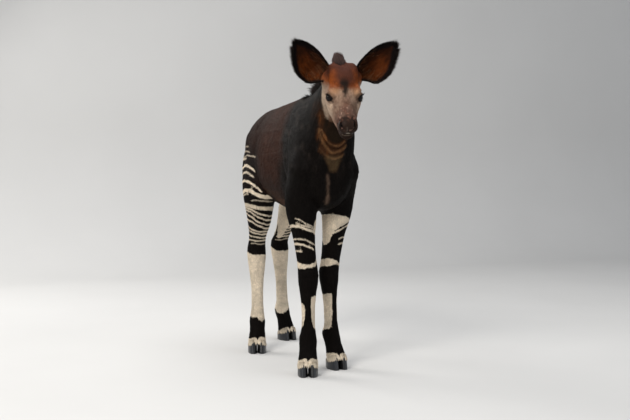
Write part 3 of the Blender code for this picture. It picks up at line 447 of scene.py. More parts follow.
MARKS = {
    Part.HIND_RIGHT: LegMarks(
        (Band(((-64, 0.125), (-16, 0.119), (17, 0.133), (53, 0.136), (110, 0.138), (180, 0.142),
               (270, 0.130)),
              HIND_SOCK),
         Panel(((0.425, 222, 300), (0.50, 218, 300), (0.60, 216, 300), (0.64, 240, 300)))),
        (), HIND_STRIPES,
        ((-41, 0.055), (-14, 0.060), (16, 0.058), (38, 0.057), (73, 0.050), (180, 0.052), (270, 0.053))),
    Part.HIND_LEFT: LegMarks(
        (Band(((-90, 0.118), (-62, 0.112), (-25, 0.109), (15, 0.117), (45, 0.128), (110, 0.134), (180, 0.138),
               (270, 0.122)),
              ((-90, 0.384), (-31, 0.371), (30, 0.370), (110, 0.384), (180, 0.390), (270, 0.386))),
         Panel(((0.425, -46, -18), (0.455, -62, -10), (0.485, -84, -6), (0.51, -125, -6), (0.60, -125, -12),
                (0.66, -120, -40))),
         Panel(((0.438, 228, 300), (0.50, 226, 300), (0.60, 224, 300), (0.66, 235, 300)))),
        (), HIND_STRIPES,
        ((-90, 0.030), (-52, 0.040), (-15, 0.049), (8, 0.052), (60, 0.050), (180, 0.050), (270, 0.034))),
    Part.FORE_RIGHT: LegMarks(
        (Band(((-90, 0.392), (-60, 0.386), (-39, 0.376), (10, 0.375), (38, 0.369), (95, 0.369), (180, 0.372),
               (270, 0.390)),
              ((-90, 0.407), (-60, 0.402), (-35, 0.388), (8, 0.383), (56, 0.387), (95, 0.393), (180, 0.396),
               (270, 0.406))),
         Band(((-90, 0.152), (-22, 0.160), (40, 0.170), (77, 0.165), (110, 0.155), (180, 0.150),
               (270, 0.151)),
              ((-90, 0.273), (-4, 0.275), (10, 0.262), (51, 0.243), (88, 0.246), (180, 0.262), (270, 0.272))),
         Panel(((0.484, -100, -52), (0.500, -100, -30), (0.530, -100, -34), (0.545, -100, -60))),
         Panel(((0.484, 225, 290), (0.545, 235, 290)))),
        (Panel(((0.150, -70, 120), (0.165, -24, 78), (0.190, -10, 54), (0.226, -1, 49), (0.290, -3, 60))),),
        (Stripe(0.005, ((-60, 0.505), (-19, 0.517), (9, 0.527), (26, 0.538), (50, 0.546)), 0.80),
         Stripe(0.005, ((-60, 0.497), (-26, 0.509), (0, 0.517), (25, 0.521), (48, 0.529)), 0.80),
         Stripe(0.009, ((-60, 0.488), (-16, 0.502), (12, 0.509), (33, 0.516), (83, 0.517), (110, 0.512),
                        (165, 0.508))),
         Stripe(0.006, ((-52, 0.450), (-8, 0.462), (15, 0.471), (48, 0.474), (107, 0.469), (150, 0.466)),
                0.90),
         Stripe(0.008, ((-34, 0.436), (3, 0.446), (27, 0.453), (56, 0.455), (95, 0.453), (140, 0.449))),
         Stripe(0.006, ((36, 0.428), (76, 0.430), (120, 0.427)), 0.90)),
        ((-90, 0.052), (-40, 0.053), (-8, 0.059), (18, 0.058), (43, 0.059), (78, 0.051), (180, 0.052),
         (270, 0.052))),
    Part.FORE_LEFT: LegMarks(
        (Band(((-90, 0.366), (-66, 0.368), (-24, 0.372), (25, 0.376), (47, 0.372), (110, 0.366), (180, 0.370),
               (270, 0.366)),
              ((-86, 0.392), (-33, 0.398), (22, 0.390), (47, 0.380), (110, 0.382), (180, 0.388),
               (270, 0.392))),
         Band(((-90, 0.138), (-68, 0.141), (-24, 0.144), (0, 0.160), (60, 0.165), (110, 0.150), (180, 0.135),
               (270, 0.136)),
              ((-82, 0.267), (-37, 0.272), (-5, 0.271), (60, 0.262), (110, 0.262), (180, 0.268),
               (270, 0.267))),
         Panel(((0.444, -125, -56), (0.455, -125, -43), (0.470, -125, -37), (0.488, -125, -28),
                (0.500, -125, -14), (0.512, -125, 4), (0.522, -125, 24), (0.534, -125, 50), (0.546, -125, 18),
                (0.556, -125, -25))),
         Panel(((0.447, 262, 300), (0.470, 240, 300), (0.552, 235, 300)))),
        (Panel(((0.140, -60, 110), (0.146, -24, 80), (0.175, -11, 60), (0.211, -5, 57), (0.290, -2, 62))),),
        (Stripe(0.006, ((-38, 0.496), (-14, 0.508), (35, 0.530), (62, 0.534), (120, 0.528)), 0.95),
         Stripe(0.007, ((-33, 0.486), (-3, 0.497), (30, 0.512), (62, 0.518), (130, 0.510)), 0.95),
         Stripe(0.006, ((2, 0.466), (30, 0.472), (75, 0.473), (140, 0.466)), 0.80),
         Stripe(0.006, ((9, 0.448), (33, 0.451), (75, 0.452), (130, 0.448)), 0.85)),
        ((-90, 0.052), (-34, 0.058), (-14, 0.055), (19, 0.054), (60, 0.050), (180, 0.052), (270, 0.052))),
}


@dataclass(frozen=True)
class Nose:
    """The nostrils, the line of the mouth and the painted highlights on the muzzle, in the head's axes."""

    heart: Colour = (-0.003, -0.250, 0.010)
    mouth: Line = ((-0.270, -0.0095), (-0.210, -0.0135))
    # Painted highlights: lines, their half-widths, colours and strengths.
    lights: tuple = (
        (((-0.024, -0.262, 0.013), (-0.016, -0.268, 0.009), (-0.009, -0.271, 0.005)), 0.0024,
         (0.30, 0.165, 0.130), 0.80),
        (((0.003, -0.275, 0.010), (0.010, -0.272, 0.012), (0.018, -0.264, 0.014)), 0.0022,
         (0.26, 0.160, 0.120), 0.70),
        (((-0.004, -0.270, -0.004), (0.004, -0.270, -0.004)), 0.0020, (0.50, 0.42, 0.33), 0.75),
        (((-0.016, -0.257, -0.018), (-0.002, -0.262, -0.019), (0.012, -0.258, -0.017)), 0.0017,
         (0.19, 0.145, 0.105), 0.75),
        (((-0.005, -0.272, 0.020), (-0.004, -0.274, 0.008)), 0.0022, (0.16, 0.120, 0.095), 0.45),
    )

    def nostril_gap(self, q: Array) -> Array:
        """How far places lie from the comma of the nearer nostril, as a share of its half-width.

        Args:
            q: Places in the head's axes.

        Returns:
            0 on the comma's middle line and 1 at its edge.
        """
        away = q - np.array(self.heart)
        side = np.abs(away[:, 0])
        turn = np.degrees(np.arctan2(side, -away[:, 1]))
        tilt = np.degrees(np.arctan2(away[:, 2], np.hypot(side, away[:, 1])))
        share = np.linspace(0, 1, 9)
        line = np.stack([42 + 34 * share, 10 + 38 * share**1.2], 1)
        gap = np.full(len(q), 1e9)
        for spot, part in zip(line, share):
            half = 5.0 + 6.5 * math.sin(math.pi * (0.12 + 0.80 * part)) ** 1.5
            gap = np.minimum(gap, np.hypot(turn - spot[0], tilt - spot[1]) / half)
        return gap + 9.0 * (q[:, 1] > -0.225)

    def mouth_height(self, ahead: Array) -> Array:
        """The height of the line between the lips, at some places along the head."""
        return np.interp(ahead, *np.array(self.mouth).T)

    def lift(self, q: Array) -> Array:
        """How far the nostrils, their wings and the lips raise or sink the skin.

        Args:
            q: Places in the head's axes.

        Returns:
            Metres along the skin's directions.
        """
        gap = self.nostril_gap(q)
        lift = -0.0052 * smooth(1.05, 0.30, gap) + 0.0013 * np.exp(-(((gap - 1.35) / 0.30) ** 2))
        near = smooth(-0.198, -0.222, q[:, 1])
        off = np.abs(q[:, 2] - self.mouth_height(q[:, 1]))
        lift += near * (0.0009 * np.exp(-(((off - 0.0042) / 0.0020) ** 2))
                        - 0.0026 * np.exp(-((off / 0.0013) ** 2)))
        groove = np.exp(-((q[:, 0] / 0.0016) ** 2)) * smooth(0.022, 0.012, q[:, 2])
        groove = groove * smooth(-0.012, -0.006, q[:, 2])
        return lift - 0.0011 * groove * smooth(-0.245, -0.262, q[:, 1])


NOSE = Nose()


@dataclass(frozen=True)
class Palette:
    """The colours of the coat, among them painted sheen, highlights and shade."""

    black: Colour = (0.0042, 0.0031, 0.0026)
    sheen: Colour = (0.026, 0.0195, 0.0160)
    brown: Colour = (0.029, 0.0102, 0.0054)
    white: Colour = (0.66, 0.56, 0.43)
    cream: Colour = (0.305, 0.230, 0.168)
    rust: Colour = (0.200, 0.047, 0.009)
    maroon: Colour = (0.060, 0.020, 0.012)
    tan: Colour = (0.34, 0.185, 0.098)
    grey: Colour = (0.225, 0.142, 0.099)
    bridge: Colour = (0.130, 0.066, 0.045)
    muzzle: Colour = (0.020, 0.0115, 0.0085)
    speckle: Colour = (0.155, 0.066, 0.043)
    ear_orange: Colour = (0.105, 0.025, 0.005)
    ear_dark: Colour = (0.018, 0.006, 0.003)
    bridge_light: Colour = (0.40, 0.285, 0.20)
    cheek_highlight: Colour = (0.55, 0.40, 0.28)
    bridge_fleck: Colour = (0.075, 0.042, 0.032)
    face_grain: Colour = (0.075, 0.040, 0.027)
    face_light: Colour = (0.42, 0.31, 0.23)
    brow_streak: Colour = (0.070, 0.022, 0.010)
    crown: Colour = (0.062, 0.021, 0.014)
    ear_root_shade: Colour = (0.020, 0.009, 0.006)
    brow_point: Colour = (0.013, 0.009, 0.007)
    eye_shadow: Colour = (0.085, 0.050, 0.034)
    lid: Colour = (0.010, 0.008, 0.008)
    tear: Colour = (0.012, 0.009, 0.009)
    muzzle_edge: Colour = (0.115, 0.066, 0.050)
    pale_fleck: Colour = (0.46, 0.32, 0.24)
    nostril: Colour = (0.0045, 0.0035, 0.0035)
    lips: Colour = (0.006, 0.005, 0.005)
    jaw_underside_shade: Colour = (0.090, 0.048, 0.028)
    nape: Colour = (0.120, 0.040, 0.020)
    belly_and_bounce: Colour = (0.062, 0.027, 0.014)
    throat: Colour = (0.036, 0.0145, 0.0060)
    throat_rust: Colour = (0.135, 0.046, 0.012)
    throat_low: Colour = (0.070, 0.046, 0.023)
    painted_throat_shade: Colour = (0.011, 0.0070, 0.0040)
    throat_fold_highlight: Colour = (0.190, 0.096, 0.042)
    breast_streak: Colour = (0.115, 0.074, 0.052)
    ear_back: Colour = (0.014, 0.009, 0.008)
    ear_back_root: Colour = (0.05, 0.022, 0.012)


@dataclass
class Markings:
    """The colours of the skin and of every tuft that grows on it, from one set of rules."""

    calf: Calf
    tones: Palette = field(default_factory=Palette)
    rust_edges: tuple[Line, Line] = (
        ((0.700, -0.014), (0.710, -0.017), (0.727, -0.022), (0.747, -0.032), (0.765, -0.045), (0.781, -0.057),
         (0.815, -0.064), (0.849, -0.070), (0.930, -0.074)),
        ((0.700, 0.012), (0.710, 0.014), (0.727, 0.018), (0.747, 0.023), (0.784, 0.030), (0.815, 0.036),
         (0.866, 0.054), (0.930, 0.060)),
    )
    chest_streak: tuple = ((-0.023, -0.122, 0.694), (-0.019, -0.116, 0.655), (-0.012, -0.085, 0.599))
    folds: tuple = (
        ((-0.062, -0.156, 0.850), (-0.049, -0.157, 0.829), (-0.033, -0.153, 0.805), (-0.015, -0.153, 0.795),
         (0.008, -0.155, 0.796), (0.024, -0.156, 0.811)),
        ((-0.065, -0.148, 0.851), (-0.057, -0.146, 0.817), (-0.036, -0.146, 0.786), (-0.019, -0.144, 0.772),
         (-0.004, -0.145, 0.772), (0.022, -0.147, 0.784), (0.032, -0.146, 0.797)),
        ((-0.056, -0.128, 0.787), (-0.041, -0.133, 0.764), (-0.018, -0.134, 0.752), (-0.003, -0.137, 0.751),
         (0.017, -0.139, 0.757), (0.028, -0.137, 0.768)),
    )
    fold_looks: tuple = ((0.0024, 0.80), (0.0044, 0.75), (0.0030, 0.62))

    def colours(self, points: Array, normals: Array, parts: Array, stray: float = 0.0) -> Array:
        """The coat's colour at places on the skin.

        Args:
            points: Places in the calf's axes.
            normals: The skin's outward directions there.
            parts: The region of each place, as numbers of Part.
            stray: How far single hairs stray over an edge of white, in metres.

        Returns:
            One linear colour for each place.
        """
        dark, pale, field = self.layers(points, normals, parts)
        field = field + stray * noise(points, 0.002, 90)
        share = smooth(-0.0009, 0.0009, field)
        return dark + (pale - dark) * share[:, None]

    def layers(self, points: Array, normals: Array, parts: Array) -> tuple[Array, Array, Array]:
        """The ground colours, the colours of the white marks, and where those lie.

        Args:
            points: Places in the calf's axes.
            normals: The skin's outward directions there.
            parts: The region of each place, as numbers of Part.

        Returns:
            The ground colours, the mark colours, and the metres from the marks' edges, below 0 outside them.
        """
        shade = self.body(points, normals)
        head = parts == Part.HEAD.value
        if head.any():
            shade[head] = self.face(points[head], shade[head])
        for part, side in ((Part.EAR_RIGHT, -1), (Part.EAR_LEFT, 1)):
            ear = parts == part.value
            if ear.any():
                shade[ear] = self.ear(points[ear], normals[ear], side)
        tail = parts == Part.TAIL.value
        shade[tail] = mixed(np.tile(self.tones.brown, (tail.sum(), 1)), self.tones.black,
                            smooth(0.70, 0.64, points[tail, 2]))
        pale = shade.copy()
        field = np.full(len(points), -0.02)
        for leg in LEGS:
            near = (parts == leg.part.value) | ((parts == Part.TORSO.value)
                                                & (points[:, 0] * leg.side > -0.004))
            near &= (points[:, 2] < 0.83) & ((points[:, 1] > 0.25) == leg.hind)
            if near.any():
                shade[near], pale[near], field[near] = self.leg(leg, points[near], shade[near])
        mottle = (1 + 0.13 * noise(points, 0.010, 3) + 0.10 * noise(points, 0.034, 4))[:, None]
        return shade * mottle, pale * mottle, field

    def body(self, points: Array, normals: Array) -> Array:
        """The ground colour of the trunk, neck and legs.

        Args:
            points: Places in the calf's axes.
            normals: The skin's directions there.

        Returns:
            A colour for each place.
        """
        y, z = points.T[1:]
        base = np.tile(np.array(self.tones.black), (len(points), 1))
        streak = noise(points * np.array([1, 0.30, 0.26]), 0.009, 8)
        streak = streak + 0.4 * noise(points * np.array([1, 0.2, 0.2]), 0.004, 9)
        # Painted sheen: paler streaks on the upper neck and shoulder stand in for light catching the hair.
        upper = smooth(0.66, 0.80, z) * smooth(0.30, 0.10, y)
        base = mixed(base, self.tones.sheen, 0.55 * smooth(0.1, 1.0, streak) * upper)
        border = 0.105 + 0.25 * np.abs(z - 0.76) ** 1.1 + 0.012 * noise(points, 0.05, 5)
        brown = smooth(-0.035, 0.040, y - border) * (1 - 0.45 * smooth(0.27, 0.40, y))
        brown *= (1 - 0.5 * smooth(0.47, 0.56, y)) * (0.18 + 0.82 * smooth(0.57, 0.74, z))
        base = mixed(base, self.tones.brown, brown * (0.85 + 0.15 * noise(points, 0.03, 6)))
        # The underside is rust-brown hair, made lighter in part as painted bounce light from the floor.
        belly_and_bounce = smooth(-0.3, -0.8, normals[:, 2]) * smooth(0.10, 0.20, y) * smooth(0.56, 0.60, z)
        base = mixed(base, self.tones.belly_and_bounce, 0.8 * belly_and_bounce * smooth(0.62, 0.40, y))
        return self.throat(points, base)

    def throat(self, points: Array, base: Array) -> Array:
        """The rusty throat with its pale folds, painted as highlights on their ridges, the painted shade
        above them, and the thin streak down the breast.

        Args:
            points: Places in the calf's axes.
            base: Their ground colours so far.

        Returns:
            A colour for each place.
        """
        x, y, z = points.T
        left = np.interp(z, *np.array(self.rust_edges[0]).T) + 0.004 * noise(points, 0.018, 12)
        right = np.interp(z, *np.array(self.rust_edges[1]).T)
        front = smooth(-0.090, -0.112, y) * smooth(0.698, 0.720, z) * smooth(0.97, 0.90, z)
        rust = smooth(-0.005, 0.011, x - left) * smooth(-0.005, 0.011, right - x) * front
        strands = noise(points * np.array([1.0, 0.3, 0.22]), 0.006, 13)
        base = mixed(base, self.tones.throat, rust)
        base = mixed(base, self.tones.throat_rust,
                     rust * smooth(-0.1, 0.8, strands) * 0.80 * smooth(-0.022, -0.045, x))
        base = mixed(base, self.tones.throat_low, rust * smooth(0.772, 0.750, z) * (0.75 + 0.25 * strands))
        upper = rounded(self.folds[0])
        # Painted shade: the top of the throat, above the upper fold and under the head, is darkened where
        # shadow falls.
        throat_top_shade = smooth(0.004, 0.014, z - np.interp(x, upper[:, 0], upper[:, 2])) * smooth(-0.062, -0.050, x)
        base = mixed(base, self.tones.painted_throat_shade, 0.9 * rust * throat_top_shade)
        # Painted highlights: pale tan lines along the fold ridges stand in for light catching them.
        for (half, share), line in zip(self.fold_looks, self.folds):
            gap = to_polyline(points, rounded(line))
            ridge = np.exp(-((gap / half) ** 2)) * front * share
            base = mixed(base, self.tones.throat_fold_highlight, ridge * (0.70 + 0.30 * strands))
        gap = to_polyline(points, np.array(self.chest_streak)) + 0.002 * noise(points, 0.02, 14)
        return mixed(base, self.tones.breast_streak, 0.85 * np.exp(-((gap / 0.0058) ** 2)))

    def leg(self, leg: LegLine, points: Array, base: Array) -> tuple[Array, Array, Array]:
        """The stripes, rings, socks and coronets of one leg.

        Args:
            leg: The leg.
            points: Places in the calf's axes.
            base: Their ground colours so far.

        Returns:
            The ground colours, the mark colours and the metres from the marks' edges.
        """
        angle, radius = leg.around(points)
        height = points[:, 2]
        marks = MARKS[leg.part]
        wander = 0.0015 * noise(points + leg.side * 3, 0.026, 20) + 0.0006 * noise(points, 0.009, 21)
        if leg.hind:
            reach = np.interp(height, [0.55, 0.62, 0.70, 0.80], [0.13, 0.15, 0.165, 0.17])
            near = smooth(0.012, -0.012, radius - reach) * smooth(0.835, 0.815, height)
            rearward = points[:, 1] + 0.5 * np.maximum(0.66 - height, 0)
            near *= smooth(0.335, 0.375, rearward)
            ragged = height + 0.014 * noise(points, 0.045, 24)
            shaded = smooth(0.035, -0.045, radius - reach) * smooth(0.826, 0.730, ragged)
            shaded *= smooth(0.300, 0.440, rearward + ragged - height)
            dark = shaded * smooth(0.60, 0.66, height) + smooth(0.645, 0.60, height)
            base = mixed(base, self.tones.black, 0.85 * dark)
        else:
            near = smooth(0.11, 0.09, radius) * smooth(0.60, 0.575, height)
        white = np.full(len(points), -0.02)
        strength = np.ones(len(points))
        for mark in marks.white:
            white = np.maximum(white, mark.field(angle, height, wander))
        for mark in marks.black:
            white = overlap(white, -mark.field(angle, height, wander), 0.014)
        white = white + 0.0024 * noise(points * np.array([1.0, 1.0, 0.28]), 0.0048, 23) * (height > 0.075)
        for stripe in marks.stripes:
            mine = stripe.field(angle, height, wander)
            strength = np.where((mine > white) & (mine > -0.004), stripe.strength, strength)
            white = np.maximum(white, mine)
        cleft = 0.010 * np.exp(-((((points[:, :2] - leg.centre(height)) @ self.across(leg)) / 0.0045) ** 2))
        rim = np.interp(angle, *np.array(marks.hoofward).T) + 0.004 - cleft + wander
        white = np.maximum(white, rim - height)
        white = np.minimum(white, (near - 0.5) * 0.02)
        stain = 1 - 0.22 * smooth(-0.2, 0.9, noise(points, 0.030, 22)) * smooth(0.42, 0.30, height)
        pale = mixed(base, np.array(self.tones.white) * stain[:, None], strength)
        return base, pale, white

    @staticmethod
    def across(leg: LegLine) -> Array:
        """The level direction across a foot, from one claw to the other."""
        turn = math.radians(leg.foot_turn)
        return np.array([math.cos(turn), math.sin(turn)])

    def face(self, points: Array, base: Array) -> Array:
        """The head's colours: rust brow, black point, pale cheeks and dark muzzle, with painted shade and
        highlights.

        Args:
            points: Places in the calf's axes.
            base: Their ground colours so far.

        Returns:
            A colour for each place.
        """
        tones = self.tones
        q = self.calf.within(self.calf.head, points)
        x, y, z = q.T
        rough = noise(q, 0.008, 30)
        fine = noise(q, 0.0032, 31)
        side = np.abs(x)
        mirrored = np.stack([side, y, z], 1)
        skin = mixed(np.tile(np.array(tones.grey), (len(q), 1)), tones.bridge,
                     0.34 * smooth(-0.3, 0.9, rough))
        skin = mixed(skin, tones.bridge, 0.42 * smooth(0.020, 0.004, side) * smooth(-0.140, -0.190, y))
        skin = mixed(skin, tones.bridge_light,
                     0.40 * blob(mirrored, (0.020, -0.150, 0.055), (0.010, 0.018, 0.014)))
        skin = mixed(skin, tones.cream, 0.90 * smooth(0.035, 0.046, side + 0.002 * rough)
                     * smooth(0.040, 0.000, z))
        # Painted highlight: a pale spot on each cheek just under the eye.
        skin = mixed(skin, tones.cheek_highlight,
                     0.85 * blob(mirrored, (0.040, -0.151, 0.024), (0.010, 0.011, 0.010)))
        skin = mixed(skin, tones.speckle, 0.75 * smooth(0.016, 0.004, side + 0.004 * rough)
                     * smooth(-0.168, -0.205, y) * smooth(0.0, 0.02, z))
        skin = mixed(skin, tones.bridge_fleck, 0.60 * smooth(0.1, 0.8, fine) * smooth(-0.160, -0.205, y))
        grain = noise(q * [1, 0.5, 1], 0.0055, 34)
        skin = mixed(skin, tones.face_grain, 0.42 * smooth(0.0, 0.7, grain) * smooth(0.046, 0.034, side))
        skin = mixed(skin, tones.face_light, 0.30 * smooth(-0.2, -0.8, grain))
        back = np.interp(z, [-0.120, -0.079, -0.060, -0.037, -0.015, 0.0, 0.020],
                         [-0.098, -0.092, -0.085, -0.077, -0.062, -0.050, -0.036])
        edge = 0.042 + 0.029 * np.clip((-y - 0.040) / 0.085, 0, 1) + 0.005 * rough
        front = -0.130 - 0.007 * rough
        brow = smooth(-0.010, 0.012, z - edge) * smooth(-0.014, 0.008, y - front)
        skin = mixed(skin, tones.tan, 0.95 * blob(mirrored, (0.036, -0.136, 0.066), (0.017, 0.013, 0.014)))
        skin = mixed(skin, tones.rust, brow)
        skin = mixed(skin, tones.brow_streak,
                     0.50 * brow * smooth(0.0, 0.9, noise(q * [1, 0.4, 1], 0.006, 32)))
        middle = blob(q, (0.002, -0.090, 0.098), (0.030, 0.038, 0.045))
        skin = mixed(skin, tones.maroon, brow * np.clip(middle * 1.7, 0, 0.95))
        crown = smooth(-0.086, -0.055, y + 0.004 * rough) * smooth(0.055, 0.085, z)
        skin = mixed(skin, tones.crown, 0.85 * crown)
        # Painted shade: darker where the ears meet the skull.
        ends = blob(mirrored, (0.045, -0.044, 0.092), (0.013, 0.020, 0.020))
        skin = mixed(skin, tones.ear_root_shade, np.clip(0.8 * ends, 0, 0.8))
        half = np.interp(-y, [0.100, 0.118, 0.130, 0.145, 0.162], [0.010, 0.014, 0.010, 0.005, 0.001])
        point = smooth(0.008, -0.006, np.abs(x + 0.002) - half + 0.005 * rough) * smooth(-0.094, -0.120, y)
        skin = mixed(skin, tones.brow_point, 0.94 * point * smooth(0.03, 0.05, z) * smooth(-0.176, -0.156, y))
        for sign in (-1, 1):
            local = self.calf.within(self.calf.eye_frame(sign), q)
            ring = np.hypot(local[:, 0] / (self.calf.slit[0] / 2), local[:, 1] / (self.calf.slit[1] / 2))
            above = smooth(-0.3, 0.5, local[:, 1] / (self.calf.slit[1] / 2))
            lid = smooth(1.30 + 0.35 * above, 1.08 + 0.22 * above, ring) * (local[:, 2] > 0)
            # Painted shade round each eye, deepest below the brow above it.
            shadow = smooth(2.5, 1.4, ring) * (local[:, 2] > 0)
            skin = mixed(skin, tones.eye_shadow, 0.60 * shadow * (0.55 + 0.45 * above))
            skin = mixed(skin, tones.lid, lid)
            tear = blob(local, (0.0185, -0.0045, 0.010), (0.005, 0.0028, 0.012))
            skin = mixed(skin, tones.tear, 0.9 * tear)
        skin = mixed(skin, tones.muzzle_edge, 0.70 * smooth(-0.185, -0.212, y + 0.004 * rough))
        edge = -0.212 - 0.026 * smooth(0.008, 0.042, z)
        edge = edge - 0.030 * smooth(0.022, 0.034, side) * smooth(0.034, 0.0, z)
        dark = smooth(0.007, -0.008, y - edge + 0.006 * rough)
        skin = mixed(skin, tones.muzzle, 0.97 * dark)
        blots = noise(q, 0.0062, 33)
        skin = mixed(skin, tones.speckle, 0.78 * smooth(-0.05, 0.45, blots) * smooth(-0.180, -0.215, y)
                     * smooth(-0.266, -0.236, y) * smooth(-0.004, 0.016, z))
        skin = mixed(skin, tones.pale_fleck, 0.75 * smooth(0.35, 0.70, blots) * smooth(-0.192, -0.210, y)
                     * smooth(-0.248, -0.228, y) * smooth(0.022, 0.032, z))
        # Painted shade: near-black commas in the nostrils' openings.
        skin = mixed(skin, tones.nostril, smooth(1.2, 0.5, NOSE.nostril_gap(q)))
        # Painted highlights along the nostrils' lower rims, on the wet lips and between the nostrils.
        for line, half, tone, share in NOSE.lights:
            gap = to_polyline(q, np.array(line))
            skin = mixed(skin, tone, share * np.exp(-((gap / half) ** 2)))
        # Painted shade in the crease between the lips.
        lips = smooth(0.0032, 0.0008, np.abs(z - NOSE.mouth_height(y))) * smooth(-0.195, -0.225, y)
        skin = mixed(skin, tones.lips, 0.95 * lips)
        # Painted shade: the underside of the head is brownish, darker than its real pale hair.
        under = smooth(-0.040, -0.058, z) * smooth(0.045, 0.030, side)
        skin = mixed(skin, tones.jaw_underside_shade, 0.85 * under)
        nape = np.maximum(smooth(-0.030, 0.000, y - 0.55 * np.maximum(z - 0.055, 0)),
                          smooth(-0.005, 0.007, y - back + 0.002 * rough) * smooth(0.026, 0.004, z))
        patch = blob(mirrored, (0.056, -0.038, 0.030), (0.014, 0.018, 0.020))
        skin = mixed(skin, base, nape)
        skin = mixed(skin, tones.nape, 0.75 * smooth(0.088, 0.100, z) * nape)
        return mixed(skin, tones.cream, np.clip(patch * 1.2, 0, 0.95))

    def ear(self, points: Array, normals: Array, side: int) -> Array:
        """An ear's colours: orange inside with a dark heart, and a black rim and back.

        Args:
            points: Places in the calf's axes.
            normals: The skin's directions there.
            side: -1 for the right one and 1 for the left.

        Returns:
            A colour for each place.
        """
        axes = self.calf.ear_frame(side)
        q = self.calf.within(axes, points)
        inner = smooth(0.25, -0.25, normals @ np.array(axes)[:3, 1])
        share = q[:, 2] / self.calf.ear_length
        rim, up = Ear.rim_distance(q, share, side)
        streak = noise(q * np.array([1.0, 1.0, 0.22]), 0.005, 40)
        heart = np.clip(np.exp(-(((up - 0.012) / 0.016) ** 2)) * smooth(0.95, 0.55, share), 0, 1)
        shade = np.tile(np.array(self.tones.ear_orange), (len(q), 1))
        shade = mixed(shade, self.tones.ear_dark, 0.85 * heart + 0.50 * smooth(-0.2, 0.8, streak))
        shade = mixed(shade, self.tones.ear_dark, 0.85 * smooth(0.50, 0.74, share + 0.05 * streak))
        shade = mixed(shade, self.tones.ear_dark, 0.85 * smooth(0.16, 0.04, share) * smooth(-0.02, 0.0, up))
        width = np.interp(share, [0.0, 0.25, 0.5, 0.8, 1.0], [0.002, 0.006, 0.010, 0.018, 0.024])
        shade = mixed(shade, (0.006, 0.004, 0.004), smooth(0.006, -0.003, rim - width + 0.003 * streak))
        outer = mixed(np.tile(self.tones.ear_back, (len(q), 1)), self.tones.ear_back_root,
                      0.6 * smooth(0.4, 0.1, share))
        return mixed(outer, shade, inner)


@dataclass
class Ear:
    """One ear's form: rows of the share along it, its half-widths above and below, and its cup."""

    outline: tuple = (
        (0.00, 0.0170, 0.0190, 2.60), (0.09, 0.0230, 0.0340, 2.20), (0.16, 0.0265, 0.0540, 1.90),
        (0.24, 0.0295, 0.0650, 1.65), (0.37, 0.0330, 0.0690, 1.38), (0.50, 0.0350, 0.0660, 1.18),
        (0.64, 0.0325, 0.0560, 1.00), (0.78, 0.0260, 0.0400, 0.86), (0.90, 0.0160, 0.0235, 0.76),
        (0.97, 0.0075, 0.0105, 0.70), (1.00, 0.0020, 0.0020, 0.70),
    )
    length: float = 0.170

    def place(self, share: Array, over: Array, side: int) -> tuple[Array, Array]:
        """Places in an ear's wall.

        Args:
            share: How far out along the ear, from 0 to 1.
            over: From -1 at the lower edge to 1 at the upper.
            side: -1 for the right ear and 1 for the left.

        Returns:
            The places in the ear's axes, and the ways across the wall towards the nearer edge.
        """
        rows = np.array(self.outline)
        upper, lower, cup = (np.interp(share, rows[:, 0], rows[:, k]) for k in (1, 2, 3))
        bend = np.minimum(cup, math.pi / 2)
        radius = (upper + lower) / 2 / np.sin(bend) + 0.0015
        angle = over * cup
        turn = 1 if side < 0 else -1
        x = (radius * np.sin(angle) + (upper - lower) / 2) * turn
        y = radius * (np.cos(angle) - np.cos(bend)) * 0.90 + 0.012 * np.sin(np.pi * share) - 0.010 * share
        edge = np.sign(over)
        out = np.stack([edge * np.cos(angle) * turn, -edge * np.sin(angle) * 0.90, np.zeros(len(share))], 1)
        return np.stack([x, y, share * self.length], 1), unit(out)

    @staticmethod
    def rim_distance(points: Array, share: Array, side: int) -> tuple[Array, Array]:
        """How far places in an ear lie from its edge.

        Args:
            points: Places in the ear's axes.
            share: How far out along the ear each lies, from 0 to 1.
            side: -1 for the right ear and 1 for the left.

        Returns:
            The distance to the nearer edge, and the place across the ear, upwards.
        """
        rows = np.array(Ear().outline)
        across = points[:, 0] * (1 if side < 0 else -1)
        upper = np.interp(share, rows[:, 0], rows[:, 1])
        lower = np.interp(share, rows[:, 0], rows[:, 2])
        edge = np.where(across > 0, upper - across, lower + across)
        return np.minimum(edge, (1.0 - share) * 0.30), across


@dataclass(frozen=True)
class Stroke:
    """A ridge or groove drawn on the skin along a line."""

    line: tuple
    reach: float
    rise: float

    def lift(self, points: Array) -> Array:
        """How far the stroke lifts the skin at each place."""
        return self.rise * np.exp(-((to_polyline(points, np.array(self.line)) / self.reach) ** 2))


def edges_of(faces: Array) -> Array:
    """The edges of triangles or quads, once each.

    Args:
        faces: The faces, as rows of points.

    Returns:
        Rows of two points.
    """
    pairs = np.concatenate([faces[:, [k, (k + 1) % faces.shape[1]]] for k in range(faces.shape[1])])
    pairs.sort(axis=1)
    return np.unique(pairs[:, 0] * (1 << 32) + pairs[:, 1])


def spread(values: Array, keys: Array, rounds: int, share: float = 0.5, back: float = 0.0) -> Array:
    """Averages values with their neighbours' on a mesh.

    Args:
        values: One row for each vertex.
        keys: The edges, as edges_of gives them.
        rounds: How many times it is done.
        share: How far each value moves to its neighbours' mean.
        back: How far it moves back after each round, which keeps a form's volume.

    Returns:
        The averaged values.
    """
    first, second = keys >> 32, keys & 0xFFFFFFFF
    count = len(values)
    degree = np.maximum(np.bincount(first, minlength=count) + np.bincount(second, minlength=count), 1)
    for _ in range(rounds):
        for step in (share, -back) if back else (share,):
            mean = np.stack([
                np.bincount(first, column[second], count) + np.bincount(second, column[first], count)
                for column in values.T
            ], 1) / degree[:, None]
            values = values + step * (mean - values)
    return values


